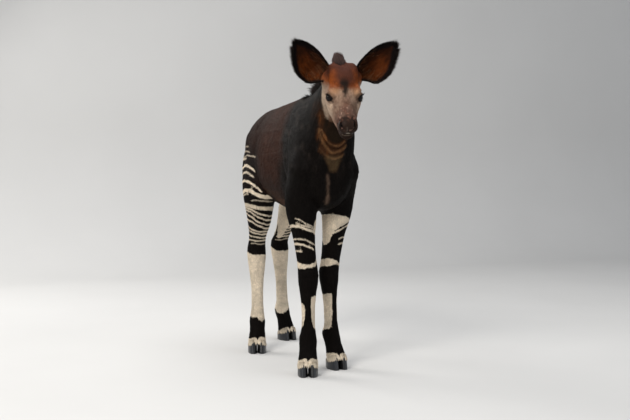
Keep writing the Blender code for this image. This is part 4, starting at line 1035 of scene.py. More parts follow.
def normals_of(points: Array, faces: Array) -> Array:
    """The vertex normals of triangles or quads.

    Args:
        points: The mesh's points.
        faces: Its faces, as rows of 3 or 4 points.

    Returns:
        A unit vector for each point.
    """
    last = faces.shape[1] - 1
    cross = np.cross(points[faces[:, 1]] - points[faces[:, 0]], points[faces[:, last]] - points[faces[:, 0]])
    if last == 3:
        corner = points[faces[:, 2]]
        cross += np.cross(points[faces[:, 3]] - corner, points[faces[:, 1]] - corner)
    total = np.stack([
        sum(np.bincount(faces[:, k], cross[:, axis], len(points)) for k in range(last + 1))
        for axis in range(3)
    ], 1)
    return unit(total)


def mesh_of(name: str, points: Array, faces: Array, smooth_faces: bool = True) -> bpy.types.Object:
    """Makes a mesh object from arrays.

    Args:
        name: The object's name.
        points: The vertices.
        faces: Triangles or quads, one row each.
        smooth_faces: Whether the faces are shaded smooth.

    Returns:
        The new object, in the scene.
    """
    mesh = bpy.data.meshes.new(name)
    mesh.vertices.add(len(points))
    mesh.vertices.foreach_set("co", np.ascontiguousarray(points, np.float32).ravel())
    sides = faces.shape[1]
    mesh.loops.add(faces.size)
    mesh.loops.foreach_set("vertex_index", np.ascontiguousarray(faces, np.int32).ravel())
    mesh.polygons.add(len(faces))
    mesh.polygons.foreach_set("loop_start", np.arange(len(faces), dtype=np.int32) * sides)
    mesh.polygons.foreach_set("use_smooth", np.full(len(faces), smooth_faces))
    mesh.update(calc_edges=True)
    thing = bpy.data.objects.new(name, mesh)
    bpy.context.scene.collection.objects.link(thing)
    return thing


def arrays_of(mesh: bpy.types.Mesh, sides: int = 3) -> tuple[Array, Array]:
    """The vertices and faces of a mesh, as triangles or as the quads it is made of.

    Args:
        mesh: The mesh to read.
        sides: How many corners each face has, 3 or 4.

    Returns:
        Its points and its faces.
    """
    points = np.empty(len(mesh.vertices) * 3, np.float32)
    mesh.vertices.foreach_get("co", points)
    if sides == 4:
        faces = np.empty(len(mesh.loops), np.int32)
        mesh.loops.foreach_get("vertex_index", faces)
        return points.reshape(-1, 3).astype(float), faces.reshape(-1, 4).astype(np.int64)
    mesh.calc_loop_triangles()
    faces = np.empty(len(mesh.loop_triangles) * 3, np.int32)
    mesh.loop_triangles.foreach_get("vertices", faces)
    return points.reshape(-1, 3).astype(float), faces.reshape(-1, 3).astype(np.int64)


def pick(thing: bpy.types.Object) -> None:
    """Makes a piece the only selected one, and the active one.

    Args:
        thing: The piece.
    """
    bpy.ops.object.select_all(action="DESELECT")
    thing.select_set(True)
    bpy.context.view_layer.objects.active = thing


def paint(mesh: bpy.types.Mesh, name: str, rows: Array) -> None:
    """Keeps a linear colour for each vertex as an attribute.

    Args:
        mesh: The mesh.
        name: The attribute's name.
        rows: The colours.
    """
    layer = mesh.color_attributes.new(name, "FLOAT_COLOR", "POINT")
    full = np.ones((len(rows), 4), np.float32)
    full[:, :3] = np.clip(rows, 0.0005, 1)
    layer.data.foreach_set("color", full.ravel())


def measure(mesh: bpy.types.Mesh, name: str, values: Array) -> None:
    """Keeps a number for each vertex as an attribute."""
    mesh.attributes.new(name, "FLOAT", "POINT").data.foreach_set("value", values.astype(np.float32))


@dataclass
class Skin:
    """The one skin under the coat, from the body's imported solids.

    It lies inside them by the coat's depth, and adds the folds, the lids and the sinews.
    """

    calf: Calf
    markings: Markings
    voxel: float = 0.0018
    shares: tuple[float, float, float] = (0.054, 0.140, 0.232)
    tail_path: tuple = (
        (0.640, 0.852, 0.0162), (0.664, 0.842, 0.0150), (0.684, 0.815, 0.0131), (0.694, 0.765, 0.0115),
        (0.697, 0.700, 0.0102), (0.696, 0.640, 0.0095), (0.694, 0.590, 0.0090), (0.693, 0.560, 0.0050),
    )
    flank_strokes: tuple[Stroke, ...] = (
        Stroke(((0.095, 0.930), (0.025, 0.800), (-0.030, 0.718)), 0.015, 0.0034),
        Stroke(((0.105, 0.800), (0.066, 0.700), (0.030, 0.625)), 0.013, -0.0034),
        Stroke(((0.165, 0.900), (0.130, 0.800), (0.095, 0.720)), 0.018, -0.0022),
        Stroke(((0.505, 0.800), (0.530, 0.705), (0.548, 0.625)), 0.013, -0.0028),
        Stroke(((0.335, 0.655), (0.368, 0.700), (0.385, 0.755)), 0.012, 0.0030),
        Stroke(((0.400, 0.820), (0.405, 0.770)), 0.030, -0.0040),
        Stroke(((0.428, 0.905), (0.440, 0.895)), 0.017, 0.0045),
        Stroke(((0.605, 0.855), (0.612, 0.840)), 0.016, 0.0030),
    )
    mesh_points: Array = field(init=False, default=None)
    faces: Array = field(init=False, default=None)
    normals: Array = field(init=False, default=None)
    parts: Array = field(init=False, default=None)
    lie: Array = field(init=False, default=None)
    keys: Array = field(init=False, default=None)
    tree: BVHTree = field(init=False, default=None)

    def build(self) -> bpy.types.Object:
        """Makes the skin, marks it and keeps what the coat needs of it.

        Returns:
            The finished skin.
        """
        source, triangles, labels = self.gather()
        raw = self.remeshed(source, triangles)
        points, quads = arrays_of(raw.data, 4)
        keys = edges_of(quads)
        points = spread(points, keys, 14, 0.60, 0.61)
        points = self.sculpted(points, normals_of(points, quads), keys)
        raw.data.vertices.foreach_set("co", points.astype(np.float32).ravel())
        raw.data.update()
        self.thin(raw)
        points, faces = arrays_of(raw.data)
        tree = BVHTree.FromPolygons(source.tolist(), triangles.tolist())
        nearest = [tree.find_nearest(point)[2] for point in points.tolist()]
        self.parts = labels[np.array(nearest)]
        self.mesh_points, self.faces = points, faces
        self.normals = normals_of(points, faces)
        self.keys = edges_of(faces)
        self.tree = BVHTree.FromPolygons(points.tolist(), faces.tolist())
        self.lie = Lie(self.calf).field(points, self.normals, self.parts, self.keys)
        name = "skin"
        bpy.data.objects.remove(raw)
        skin = mesh_of(name, points + self.calf.offset, faces)
        dark, pale, marks = self.markings.layers(points, self.normals, self.parts)
        paint(skin.data, "Coat", dark * 0.86)
        paint(skin.data, "Pale", pale * 0.86)
        measure(skin.data, "Marks", marks)
        measure(skin.data, "Bare", self.bare(points))
        skin.data.materials.append(Pelt().material())
        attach(skin, "root")
        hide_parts(*[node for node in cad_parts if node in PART_OF_NODE or node == "tail"])
        return skin

    def gather(self) -> tuple[Array, Array, Array]:
        """Collects the flesh solids, a little swollen so that they meet, with no locks on them.

        Returns:
            The points in the calf's axes, the triangles and the region of each triangle.
        """
        groups, faces, labels, base = [], [], [], 0
        for node, part in PART_OF_NODE.items():
            points, triangles = arrays_of(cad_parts[node].data)
            joined, back = np.unique(np.round(points, 6), axis=0, return_inverse=True)
            triangles = back.ravel()[triangles]
            joined = self.calf.own(joined)
            joined = joined + normals_of(joined, triangles) * 0.0004
            if part is Part.NECK:
                joined = self.under_mane(joined)
            if part is Part.HEAD:
                joined = self.under_crown(joined)
            groups.append(joined)
            faces.append(triangles + base)
            labels.append(np.full(len(triangles), part.value))
            base += len(joined)
        points, triangles = self.tail_core()
        groups.append(points)
        faces.append(triangles + base)
        labels.append(np.full(len(triangles), Part.TAIL.value))
        return np.concatenate(groups), np.concatenate(faces), np.concatenate(labels)

    def under_mane(self, points: Array) -> Array:
        """Presses the neck's mane locks down to its crest.

        Args:
            points: The neck's points.

        Returns:
            The moved points.
        """
        x, y, z = points.T
        middle = np.interp(y, [-0.20, 0.10], [-0.020, 0.0])
        roof = np.interp(y, *np.array(self.calf.crest).T) - (x - middle) ** 2 / 0.044
        near = (np.abs(x - middle) < 0.030) & (z > 0.93)
        return np.stack([x, y, np.where(near, np.minimum(z, roof), z)], 1)

    def under_crown(self, points: Array) -> Array:
        """Presses the head's crown locks down to its poll.

        Args:
            points: The head's points.

        Returns:
            The moved points.
        """
        q = self.calf.within(self.calf.head, points)
        x, y, z = q.T
        roof = 0.1155 - 0.0028 * ((y + 0.050) / 0.03) ** 2 - np.maximum(np.abs(x) - 0.030, 0) ** 2 / 0.02
        near = (y > -0.045) & (x > -0.040) & (x < 0.020) & (z > 0.05)
        q = np.stack([x, y, np.where(near, np.minimum(z, roof), z)], 1)
        return self.calf.outward(self.calf.head, q)

    def tail_core(self) -> tuple[Array, Array]:
        """The tail's flesh as a tapered tube, closed at both ends.

        Returns:
            Its points and its triangles.
        """
        rows = np.array(self.tail_path)
        share = np.linspace(0, len(rows) - 1, 40)
        path = np.stack([np.interp(share, np.arange(len(rows)), column) for column in rows.T], 1)
        way = unit(np.gradient(path[:, :2], axis=0))
        turn = np.linspace(0, 2 * math.pi, 16, endpoint=False)
        points = [
            (math.cos(t) * r, y - math.sin(t) * r * w[1], z + math.sin(t) * r * w[0])
            for (y, z, r), w in zip(path, way) for t in turn
        ]
        points = np.array(points + [(0, path[0, 0] - 0.004, path[0, 1]),
                                    (0, path[-1, 0], path[-1, 1] - 0.005)])
        faces = []
        for k, j in itertools.product(range(39), range(16)):
            a, b, c, d = k * 16 + j, k * 16 + (j + 1) % 16, (k + 1) * 16 + (j + 1) % 16, (k + 1) * 16 + j
            faces += [(a, c, b), (a, d, c)]
        for j in range(16):
            faces += [(640, j, (j + 1) % 16), (641, 39 * 16 + (j + 1) % 16, 39 * 16 + j)]
        faces = np.array(faces)
        middle = points.mean(0)
        volume = np.einsum("ij,ij->", points[faces[:, 0]] - middle,
                           np.cross(points[faces[:, 1]] - middle, points[faces[:, 2]] - middle))
        return points, faces if volume > 0 else faces[:, ::-1]

    def remeshed(self, points: Array, faces: Array) -> bpy.types.Object:
        """Joins the solids into one closed surface.

        Args:
            points: The points of all the solids.
            faces: Their triangles.

        Returns:
            The object with that surface.
        """
        raw = mesh_of("raw", points, faces)
        pick(raw)
        turn = raw.modifiers.new("join", "REMESH")
        turn.mode = "VOXEL"
        turn.voxel_size = self.voxel
        bpy.ops.object.modifier_apply(modifier=turn.name)
        return raw

    def sculpted(self, points: Array, normals: Array, keys: Array) -> Array:
        """Adds the folds, sinews, ribs and lids, and lies the skin in by the coat's depth.

        Args:
            points: The joined surface.
            normals: Its outward directions.
            keys: Its edges.

        Returns:
            The new places of the points.
        """
        q = self.calf.within(self.calf.head, points)
        points = self.melted(points, keys,
                             np.clip(1.3 * blob(q, (0.0, -0.055, 0.104), (0.060, 0.070, 0.034)), 0, 1), 70)
        for sign in (-1, 1):
            local = self.calf.within(self.calf.ear_frame(sign), points)
            tip = smooth(0.125, 0.150, local[:, 2]) * smooth(0.12, 0.08, np.abs(local[:, 0]))
            tip = tip * (local[:, 2] < 0.20)
            points = self.melted(points, keys, tip, 22)
        x, y, z = points.T
        lift = np.zeros(len(points))
        upper, middle, lower = (rounded(line) for line in self.markings.folds)
        for line in (upper, middle, lower):
            lift += Stroke(line, 0.0052, 0.0034).lift(points)
        groove = (upper + middle[np.linspace(0, len(middle) - 1, len(upper)).astype(int)]) / 2
        lift += Stroke(groove, 0.0040, -0.0022).lift(points)
        side = np.abs(x) > 0.045
        flat = points[:, 1:]
        trunk = side * smooth(0.60, 0.63, z)
        for stroke in self.flank_strokes:
            lift += stroke.lift(flat) * trunk
        for rib in range(7):
            top = 0.165 + 0.034 * rib
            line = ((top, 0.860), (top + 0.030, 0.760), (top + 0.020, 0.670))
            lift += Stroke(line, 0.0090, 0.0004).lift(flat) * trunk * (np.abs(x) > 0.07)
        spine = np.exp(-((x / 0.010) ** 2)) * (normals[:, 2] > 0.5) * smooth(0.20, 0.26, y)
        lift += 0.0016 * spine * (0.6 + 0.4 * np.cos(y * 2 * math.pi / 0.034))
        lift += self.legs_lift(points)
        depth = self.depth(points)
        moved = points + normals * (lift - depth)[:, None]
        return self.lidded(moved, normals)

    @staticmethod
    def melted(points: Array, keys: Array, weight: Array, rounds: int) -> Array:
        """Melts the creases between forms where the weight is above 0.

        Args:
            points: The mesh's points.
            keys: Its edges, two points each.
            weight: How far each point gives way, from 0 to 1.
            rounds: How often it is smoothed.

        Returns:
            The moved points.
        """
        near = weight > 0.02
        index = np.cumsum(near) - 1
        first, second = keys >> 32, keys & 0xFFFFFFFF
        inner = near[first] & near[second]
        soft = spread(points[near], (index[first[inner]] << 32) + index[second[inner]], rounds)
        moved = points.copy()
        moved[near] += (soft - points[near]) * weight[near, None]
        return moved

    def legs_lift(self, points: Array) -> Array:
        """The sinews, joints and clefts of the legs.

        Args:
            points: Places in the calf's axes.

        Returns:
            Metres along the skin's directions.
        """
        z = points[:, 2]
        lift = np.zeros(len(points))
        for leg in LEGS:
            angle, radius = leg.around(points)
            near = (radius < 0.075) & (points[:, 0] * leg.side > 0) & (z < 0.55)
            near = near & ((points[:, 1] > 0.25) if leg.hind else (points[:, 1] < 0.25))
            shank = smooth(0.13, 0.17, z) * (smooth(0.36, 0.31, z) if leg.hind else smooth(0.33, 0.29, z))
            for groove in (128, 232):
                lift -= near * 0.0030 * shank * np.exp(-(((angle - groove) / 15) ** 2))
            lift += near * 0.0012 * shank * np.exp(-(((angle - 180) / 22) ** 2))
            knob = np.exp(-(((z - 0.128) / 0.011) ** 2)) * (np.exp(-(((angle - 150) / 22) ** 2))
                                                            + np.exp(-(((angle - 210) / 22) ** 2)))
            lift += near * 0.0035 * knob
            if not leg.hind:
                for crease in (0.392, 0.366, 0.338):
                    front = np.exp(-((angle / 45) ** 2)) * np.exp(-(((z - crease) / 0.0045) ** 2))
                    lift -= near * 0.0011 * front
            else:
                hock = np.exp(-(((z - 0.435) / 0.05) ** 2))
                lift -= near * 0.0040 * hock * (np.exp(-(((angle - 125) / 16) ** 2))
                                                + np.exp(-(((angle - 235) / 16) ** 2)))
            across = (points[:, :2] - leg.centre(z)) @ Markings.across(leg)
            cleft = np.exp(-((across / 0.0045) ** 2)) * smooth(0.080, 0.055, z)
            ends = np.maximum(np.exp(-((angle / 40) ** 2)), np.exp(-(((angle - 180) / 40) ** 2)))
            lift -= near * 0.0045 * cleft * ends
        return lift

    def depth(self, points: Array) -> Array:
        """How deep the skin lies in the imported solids, by region.

        Args:
            points: Places in the calf's axes.

        Returns:
            Metres inwards, one for each place.
        """
        z = points[:, 2]
        depth = np.interp(z, [0.05, 0.30, 0.45, 0.60], [0.0009, 0.0011, 0.0015, 0.0020])
        q = self.calf.within(self.calf.head, points)
        on_head = smooth(0.0, -0.06, q[:, 1] - 0.3 * q[:, 2]) * smooth(0.155, 0.13, np.abs(q[:, 0]))
        on_head *= smooth(-0.13, -0.08, q[:, 2])
        depth = depth + (0.0008 - depth) * on_head
        nose = smooth(-0.200, -0.235, q[:, 1]) * on_head
        depth = depth + (0.0001 - depth) * nose
        for sign in (-1, 1):
            local = self.calf.within(self.calf.ear_frame(sign), points)
            on_ear = smooth(0.015, 0.035, local[:, 2]) * smooth(0.10, 0.08, np.abs(local[:, 0]))
            on_ear *= smooth(0.09, 0.06, np.abs(local[:, 1]))
            depth = depth + (0.0004 - depth) * on_ear
            eye = self.calf.within(self.calf.eye_frame(sign), q)
            ring = np.hypot(eye[:, 0] / (self.calf.slit[0] / 2), eye[:, 1] / (self.calf.slit[1] / 2))
            depth = depth + (0.0001 - depth) * smooth(2.0, 1.5, ring) * (eye[:, 2] > -0.004) * on_head
        return depth

    def lidded(self, points: Array, normals: Array) -> Array:
        """Folds the skin round the eyes, and shapes the cheek, the nostrils' wings and the lips.

        Args:
            points: Places in the calf's axes.
            normals: The skin's directions there.

        Returns:
            The moved places.
        """
        q = self.calf.within(self.calf.head, points)
        side = np.abs(q[:, 0])
        near = (q[:, 1] < -0.02) & (q[:, 1] > -0.30) & (side < 0.08) & (np.abs(q[:, 2]) < 0.13)
        mirrored = np.stack([side, q[:, 1], q[:, 2]], 1)
        lift = Stroke(((0.048, -0.085, -0.012), (0.045, -0.125, -0.020), (0.040, -0.165, -0.012)), 0.010,
                      0.0014).lift(mirrored)
        lift += Stroke(((0.044, -0.090, -0.034), (0.040, -0.130, -0.044)), 0.009, -0.0014).lift(mirrored)
        lift += Stroke(((0.030, -0.205, 0.000), (0.028, -0.235, -0.006)), 0.008, 0.0010).lift(mirrored)
        lift += Stroke(((0.030, -0.170, 0.040), (0.026, -0.205, 0.034)), 0.009, -0.0012).lift(mirrored)
        for sign in (-1, 1):
            eye = self.calf.within(self.calf.eye_frame(sign), q)
            a, b = self.calf.slit[0] / 2, self.calf.slit[1] / 2
            ring = np.hypot(eye[:, 0] / a, eye[:, 1] / b)
            front = eye[:, 2] > 0.0
            upper, lower = smooth(-0.15, 0.35, eye[:, 1] / b), smooth(0.15, -0.35, eye[:, 1] / b)
            lift -= front * upper * 0.0016 * np.exp(-(((ring - 1.95) / 0.15) ** 2))
            lift += front * upper * 0.0022 * np.exp(-(((ring - 2.45) / 0.35) ** 2))
            lift += front * lower * 0.0009 * np.exp(-(((ring - 1.85) / 0.20) ** 2))
            lift -= front * lower * 0.0011 * np.exp(-(((ring - 2.25) / 0.16) ** 2))
        lift += NOSE.lift(q)
        points = points + normals * (lift * near)[:, None]
        for sign in (-1, 1):
            points = self.hooded(points, self.calf.head @ self.calf.eye_frame(sign))
        return points

    def hooded(self, points: Array, axes: Matrix) -> Array:
        """Draws the lids over one eyeball, up to the edge of its almond opening.

        Args:
            points: The places to move.
            axes: The eye's axes.

        Returns:
            The moved places.
        """
        eye = self.calf.within(axes, points)
        reach = np.linalg.norm(eye, axis=1)
        c = np.clip(eye[:, 0] / (self.calf.slit[0] / 2), -1, 1)
        ring = np.hypot(eye[:, 0] / (self.calf.slit[0] / 2),
                        eye[:, 1] / (self.calf.slit[1] / 2 * (1 - 0.40 * np.abs(c) ** 2.2)))
        near = (eye[:, 2] > 0.002) & (reach < 0.026)
        lid = np.maximum(reach, 0.0178)
        target = np.minimum(reach, 0.0150) + (lid - np.minimum(reach, 0.0150)) * smooth(0.94, 1.06, ring)
        share = near * smooth(2.3, 1.7, ring)
        moved = eye * (1 + (target / np.maximum(reach, 1e-6) - 1) * share)[:, None]
        return np.where(near[:, None], self.calf.outward(axes, moved), points)

    def thin(self, raw: bpy.types.Object) -> None:
        """Thins the plain trunk most, then the marked legs, and the head least.

        Args:
            raw: The skin, which is changed.
        """
        pick(raw)
        mesh = raw.data
        for region, share in enumerate(self.shares):
            points = np.empty(len(mesh.vertices) * 3, np.float32)
            mesh.vertices.foreach_get("co", points)
            zones = self.zones(points.reshape(-1, 3).astype(float))
            bpy.ops.object.mode_set(mode="EDIT")
            bpy.ops.mesh.select_mode(type="VERT")
            bpy.ops.mesh.select_all(action="DESELECT")
            bpy.ops.object.mode_set(mode="OBJECT")
            mesh.vertices.foreach_set("select", zones[region])
            bpy.ops.object.mode_set(mode="EDIT")
            bpy.ops.mesh.decimate(ratio=min(1.0, share * (1.0)))
            bpy.ops.object.mode_set(mode="OBJECT")

    def zones(self, points: Array) -> tuple[Array, Array, Array]:
        """Which points belong to the trunk, the marked legs and the head.

        Args:
            points: Places in the calf's axes.

        Returns:
            A mask for each of the three.
        """
        q = self.calf.within(self.calf.head, points)
        head = (q[:, 1] < 0.0) & (np.abs(q[:, 2]) < 0.12) & (np.abs(q[:, 0]) < 0.10)
        legs = ((points[:, 2] < 0.575) | ((points[:, 1] > 0.37) & (points[:, 2] < 0.79))) & ~head
        return ~(head | legs), legs, head

    def bare(self, points: Array) -> Array:
        """How bare and moist the skin is: the nose pad, lips and lid edges.

        Args:
            points: Places in the calf's axes.

        Returns:
            From 0 under hair to 1 on bare skin.
        """
        q = self.calf.within(self.calf.head, points)
        nose = smooth(-0.236, -0.252, q[:, 1]) * smooth(-0.028, -0.012, q[:, 2])
        for sign in (-1, 1):
            eye = self.calf.within(self.calf.eye_frame(sign), q)
            ring = np.hypot(eye[:, 0] / (self.calf.slit[0] / 2), eye[:, 1] / (self.calf.slit[1] / 2))
            nose = np.maximum(nose, smooth(1.35, 1.12, ring) * (eye[:, 2] > 0))
        return nose


@dataclass
class Lie:
    """Which way the hair lies."""

    calf: Calf

    def field(self, points: Array, normals: Array, parts: Array, keys: Array) -> Array:
        """The lie of the hair at each vertex of the skin.

        Args:
            points: The skin's vertices in the calf's axes.
            normals: Its outward directions.
            parts: The region of each vertex.
            keys: The skin's edges.

        Returns:
            One direction for each vertex, along the skin.
        """
        y, z = points.T[1:]
        way = np.tile(np.array([0.0, 0.90, -0.36]), (len(points), 1))
        chest = smooth(-0.02, -0.10, y) * (parts == Part.TORSO.value)
        way = way + chest[:, None] * (np.array([0.0, 0.25, -1.0]) - way)
        rump = smooth(0.50, 0.62, y)
        way = way + rump[:, None] * (np.array([0.0, 0.25, -1.0]) - way)
        low = smooth(0.74, 0.62, z) * (parts >= Part.FORE_RIGHT.value)
        way = way + low[:, None] * (np.array([0.0, 0.12, -1.0]) - way)
        under = smooth(-0.3, -0.8, normals[:, 2]) * (parts == Part.TORSO.value)
        way = way + under[:, None] * (np.array([0.0, 1.0, 0.0]) - way)
        neck = parts == Part.NECK.value
        way[neck] = (0.0, 0.60, -0.78)
        way[parts == Part.TAIL.value] = (0.0, 0.05, -1.0)
        self.head_way(points, parts, way)
        for part, side in ((Part.EAR_RIGHT, -1), (Part.EAR_LEFT, 1)):
            mine = parts == part.value
            axes = np.array(self.calf.ear_frame(side))[:3, :3]
            q = self.calf.within(self.calf.ear_frame(side), points[mine])
            inside = smooth(0.2, -0.2, normals[mine] @ axes[:, 1])
            way[mine] = axes[:, 2] + axes[:, 0] * (np.sign(q[:, 0]) * 0.55 * inside)[:, None]
        way = way + 0.22 * np.stack([noise(points, 0.05, 60 + k) for k in range(3)], 1)
        way = way - normals * np.einsum("ij,ij->i", way, normals)[:, None]
        way = spread(unit(way), keys, 10)
        way = way - normals * np.einsum("ij,ij->i", way, normals)[:, None]
        return unit(way)

    def head_way(self, points: Array, parts: Array, way: Array) -> None:
        """Sets the lie on the head: towards the nose in front, back over the cheeks and up the brow.

        Args:
            points: Places in the calf's axes.
            parts: Their regions.
            way: The lie so far, which is changed.
        """
        mine = parts == Part.HEAD.value
        axes = np.array(self.calf.head)[:3, :3]
        q = self.calf.within(self.calf.head, points[mine])
        x, y, z = q.T
        back = np.stack([0.25 * np.sign(x), np.ones(len(q)), -0.55 * np.ones(len(q))], 1)
        ahead = np.stack([0.10 * np.sign(x), -np.ones(len(q)), -0.20 * np.ones(len(q))], 1)
        brow = np.stack([0.35 * np.sign(x), np.ones(len(q)), 0.35 * np.ones(len(q))], 1)
        nose = smooth(-0.165, -0.185, y) * smooth(-0.03, 0.01, z)
        top = smooth(0.040, 0.062, z) * (1 - nose)
        local = back + nose[:, None] * (ahead - back)
        local = local + top[:, None] * (brow - local)
        way[mine] = local @ axes.T


class Wire:
    """A node socket that reads like a number in Python expressions."""

    def __init__(self, shader: "Shader", socket: bpy.types.NodeSocket) -> None:
        """Keeps the socket and the shader that it belongs to."""
        self.shader = shader
        self.socket = socket

    def maths(self, operation: str, first: object, second: object = 0.0) -> "Wire":
        """Adds one Math node.

        Args:
            operation: The node's operation.
            first: Its first value or link.
            second: Its second value or link.

        Returns:
            The node's result.
        """
        return self.shader.node("ShaderNodeMath", {"operation": operation}, {0: first, 1: second})

    def __add__(self, other: object) -> "Wire":
        """The sum."""
        return self.maths("ADD", self, other)

    def __radd__(self, other: object) -> "Wire":
        """The sum, from the right."""
        return self.maths("ADD", other, self)

    def __sub__(self, other: object) -> "Wire":
        """The difference."""
        return self.maths("SUBTRACT", self, other)

    def __rsub__(self, other: object) -> "Wire":
        """The difference, from the right."""
        return self.maths("SUBTRACT", other, self)

    def __mul__(self, other: object) -> "Wire":
        """The product."""
        return self.maths("MULTIPLY", self, other)

    def __rmul__(self, other: object) -> "Wire":
        """The product, from the right."""
        return self.maths("MULTIPLY", other, self)

    def __truediv__(self, other: object) -> "Wire":
        """The quotient."""
        return self.maths("DIVIDE", self, other)


class Shader:
    """A procedural finish being wired up: its nodes, its surface and what it reads."""

    def __init__(self, name: str) -> None:
        """Makes an empty material with a surface and an output.

        Args:
            name: The finish's name.
        """
        self.material = bpy.data.materials.new(name)
        self.material.use_nodes = True
        self.tree = self.material.node_tree
        self.surface = next(n for n in self.tree.nodes if n.type == "BSDF_PRINCIPLED")

    def node(self, kind: str, settings: dict, sockets: dict, output: object = 0) -> Wire:
        """Adds any node: its settings first, then the values and links of its sockets.

        Args:
            kind: The node's type.
            settings: Its properties by name. A ramp's stops are given as "stops".
            sockets: Values or wires by socket name or number.
            output: The output that is returned, by name or number.

        Returns:
            The chosen output.
        """
        made = self.tree.nodes.new(kind)
        for key, value in settings.items():
            if key == "stops":
                ramp = made.color_ramp
                while len(ramp.elements) < len(value):
                    ramp.elements.new(0.5)
                for element, (place, tone) in zip(ramp.elements, value):
                    element.position = place
                    element.color = (*tone, 1)
            else:
                setattr(made, key, value)
        for key, value in sockets.items():
            if isinstance(value, Wire):
                self.tree.links.new(value.socket, made.inputs[key])
            else:
                made.inputs[key].default_value = value
        return Wire(self, made.outputs[output])

    def place(self, scale: Colour = (1, 1, 1), turn: Colour = (0, 0, 0)) -> Wire:
        """Object coordinates, scaled and turned by a Mapping node."""
        where = self.node("ShaderNodeTexCoord", {}, {}, "Object")
        return self.node("ShaderNodeMapping", {}, {"Vector": where, "Scale": scale, "Rotation": turn})

    def grain(self, where: Wire, size: float, detail: float = 2.0, rough: float = 0.5) -> Wire:
        """A Noise node's value, with bumps of about the given size."""
        return self.node("ShaderNodeTexNoise", {}, {"Vector": where, "Scale": 1 / size, "Detail": detail,
                                                    "Roughness": rough})

    def tone(self, name: str) -> Wire:
        """A colour attribute of the mesh."""
        return self.node("ShaderNodeAttribute", {"attribute_name": name}, {}, "Color")

    def number(self, name: str) -> Wire:
        """A number attribute of the mesh."""
        return self.node("ShaderNodeAttribute", {"attribute_name": name}, {}, "Fac")

    def blend(self, share: object, first: object, second: object, mode: str = "MIX") -> Wire:
        """Mixes two colours.

        Args:
            share: How much of the second.
            first: The first colour or wire.
            second: The second colour or wire.
            mode: The way they mix.

        Returns:
            The mixed colour.
        """
        settings = {"data_type": "RGBA", "blend_type": mode}
        tones = [tone if isinstance(tone, Wire) else (*tone, 1) for tone in (first, second)]
        return self.node("ShaderNodeMix", settings, {0: share, 6: tones[0], 7: tones[1]}, 2)

    def bump(self, height: Wire, distance: float, strength: float = 1.0, under: object = None) -> Wire:
        """A Bump node.

        Args:
            height: The height from 0 to 1.
            distance: What a height of 1 stands for, in metres.
            strength: How strongly it shows.
            under: A bump below it.

        Returns:
            The normal.
        """
        sockets = {"Height": height, "Distance": distance, "Strength": strength}
        if under is not None:
            sockets["Normal"] = under
        return self.node("ShaderNodeBump", {}, sockets)

    def finish(self, **sockets: object) -> bpy.types.Material:
        """Feeds the surface and returns the material. Underscores in names stand for spaces.

        Args:
            **sockets: Values or wires, by the surface's socket.

        Returns:
            The finished material.
        """
        for key, value in sockets.items():
            socket = self.surface.inputs[key.replace("_", " ")]
            if isinstance(value, Wire):
                self.tree.links.new(value.socket, socket)
            else:
                socket.default_value = value
        return self.material


@dataclass(frozen=True)
class Pelt:
    """The finish of the skin: short flat hair, and bare moist hide on the nose, lips and lids."""

    strand: float = 0.0011
    depth: float = 0.0005

    def material(self) -> bpy.types.Material:
        """Makes the finish from the skin's own colour attribute, with strands along the legs and back.

        Returns:
            The material of the skin.
        """
        s = Shader("pelt")
        bare = s.number("Bare")
        lengthwise = s.place((1, 1, 0.16))
        hair = s.grain(lengthwise, self.strand, 2.0, 0.6)
        pores = s.node("ShaderNodeTexVoronoi", {"feature": "SMOOTH_F1"},
                       {"Vector": s.place(), "Scale": 520.0})
        height = hair * (1 - bare) + (1 - pores) * bare * 0.8
        stray = s.grain(lengthwise, 0.0024, 1.0, 0.5)
        edge = (s.number("Marks") + (stray - 0.5) * 0.004) / 0.0012 + 0.5
        marks = s.node("ShaderNodeMapRange", {"interpolation_type": "SMOOTHSTEP"}, {"Value": edge})
        tone = s.blend(0.55 * (1 - bare), s.blend(marks, s.tone("Coat"), s.tone("Pale")),
                       s.blend(hair, (0.45, 0.45, 0.45), (1.35, 1.35, 1.35)), "MULTIPLY")
        rough = 0.74 - bare * 0.36 + (hair - 0.5) * 0.12
        return s.finish(Base_Color=tone, Roughness=rough, Normal=s.bump(height, self.depth, 0.8),
                        IOR=1.16, Specular_IOR_Level=0.30)


@dataclass(frozen=True)
class HairFinish:
    """The finish of tufts and locks, which carry their own colours from root to tip."""

    name: str
    roughness: float = 0.56
    gloss: float = 0.28

    def material(self) -> bpy.types.Material:
        """Makes the finish from the hair's colour attribute with a fine streak along it.

        Returns:
            The material of the hair.
        """
        s = Shader(self.name)
        fine = s.grain(s.place(), 0.0009, 1.0, 0.5)
        tone = s.blend(0.5, s.tone("Coat"), s.blend(fine, (0.60, 0.60, 0.60), (1.35, 1.35, 1.35)), "MULTIPLY")
        return s.finish(Base_Color=tone, Roughness=self.roughness + (fine - 0.5) * 0.18,
                        IOR=1.16, Specular_IOR_Level=self.gloss)


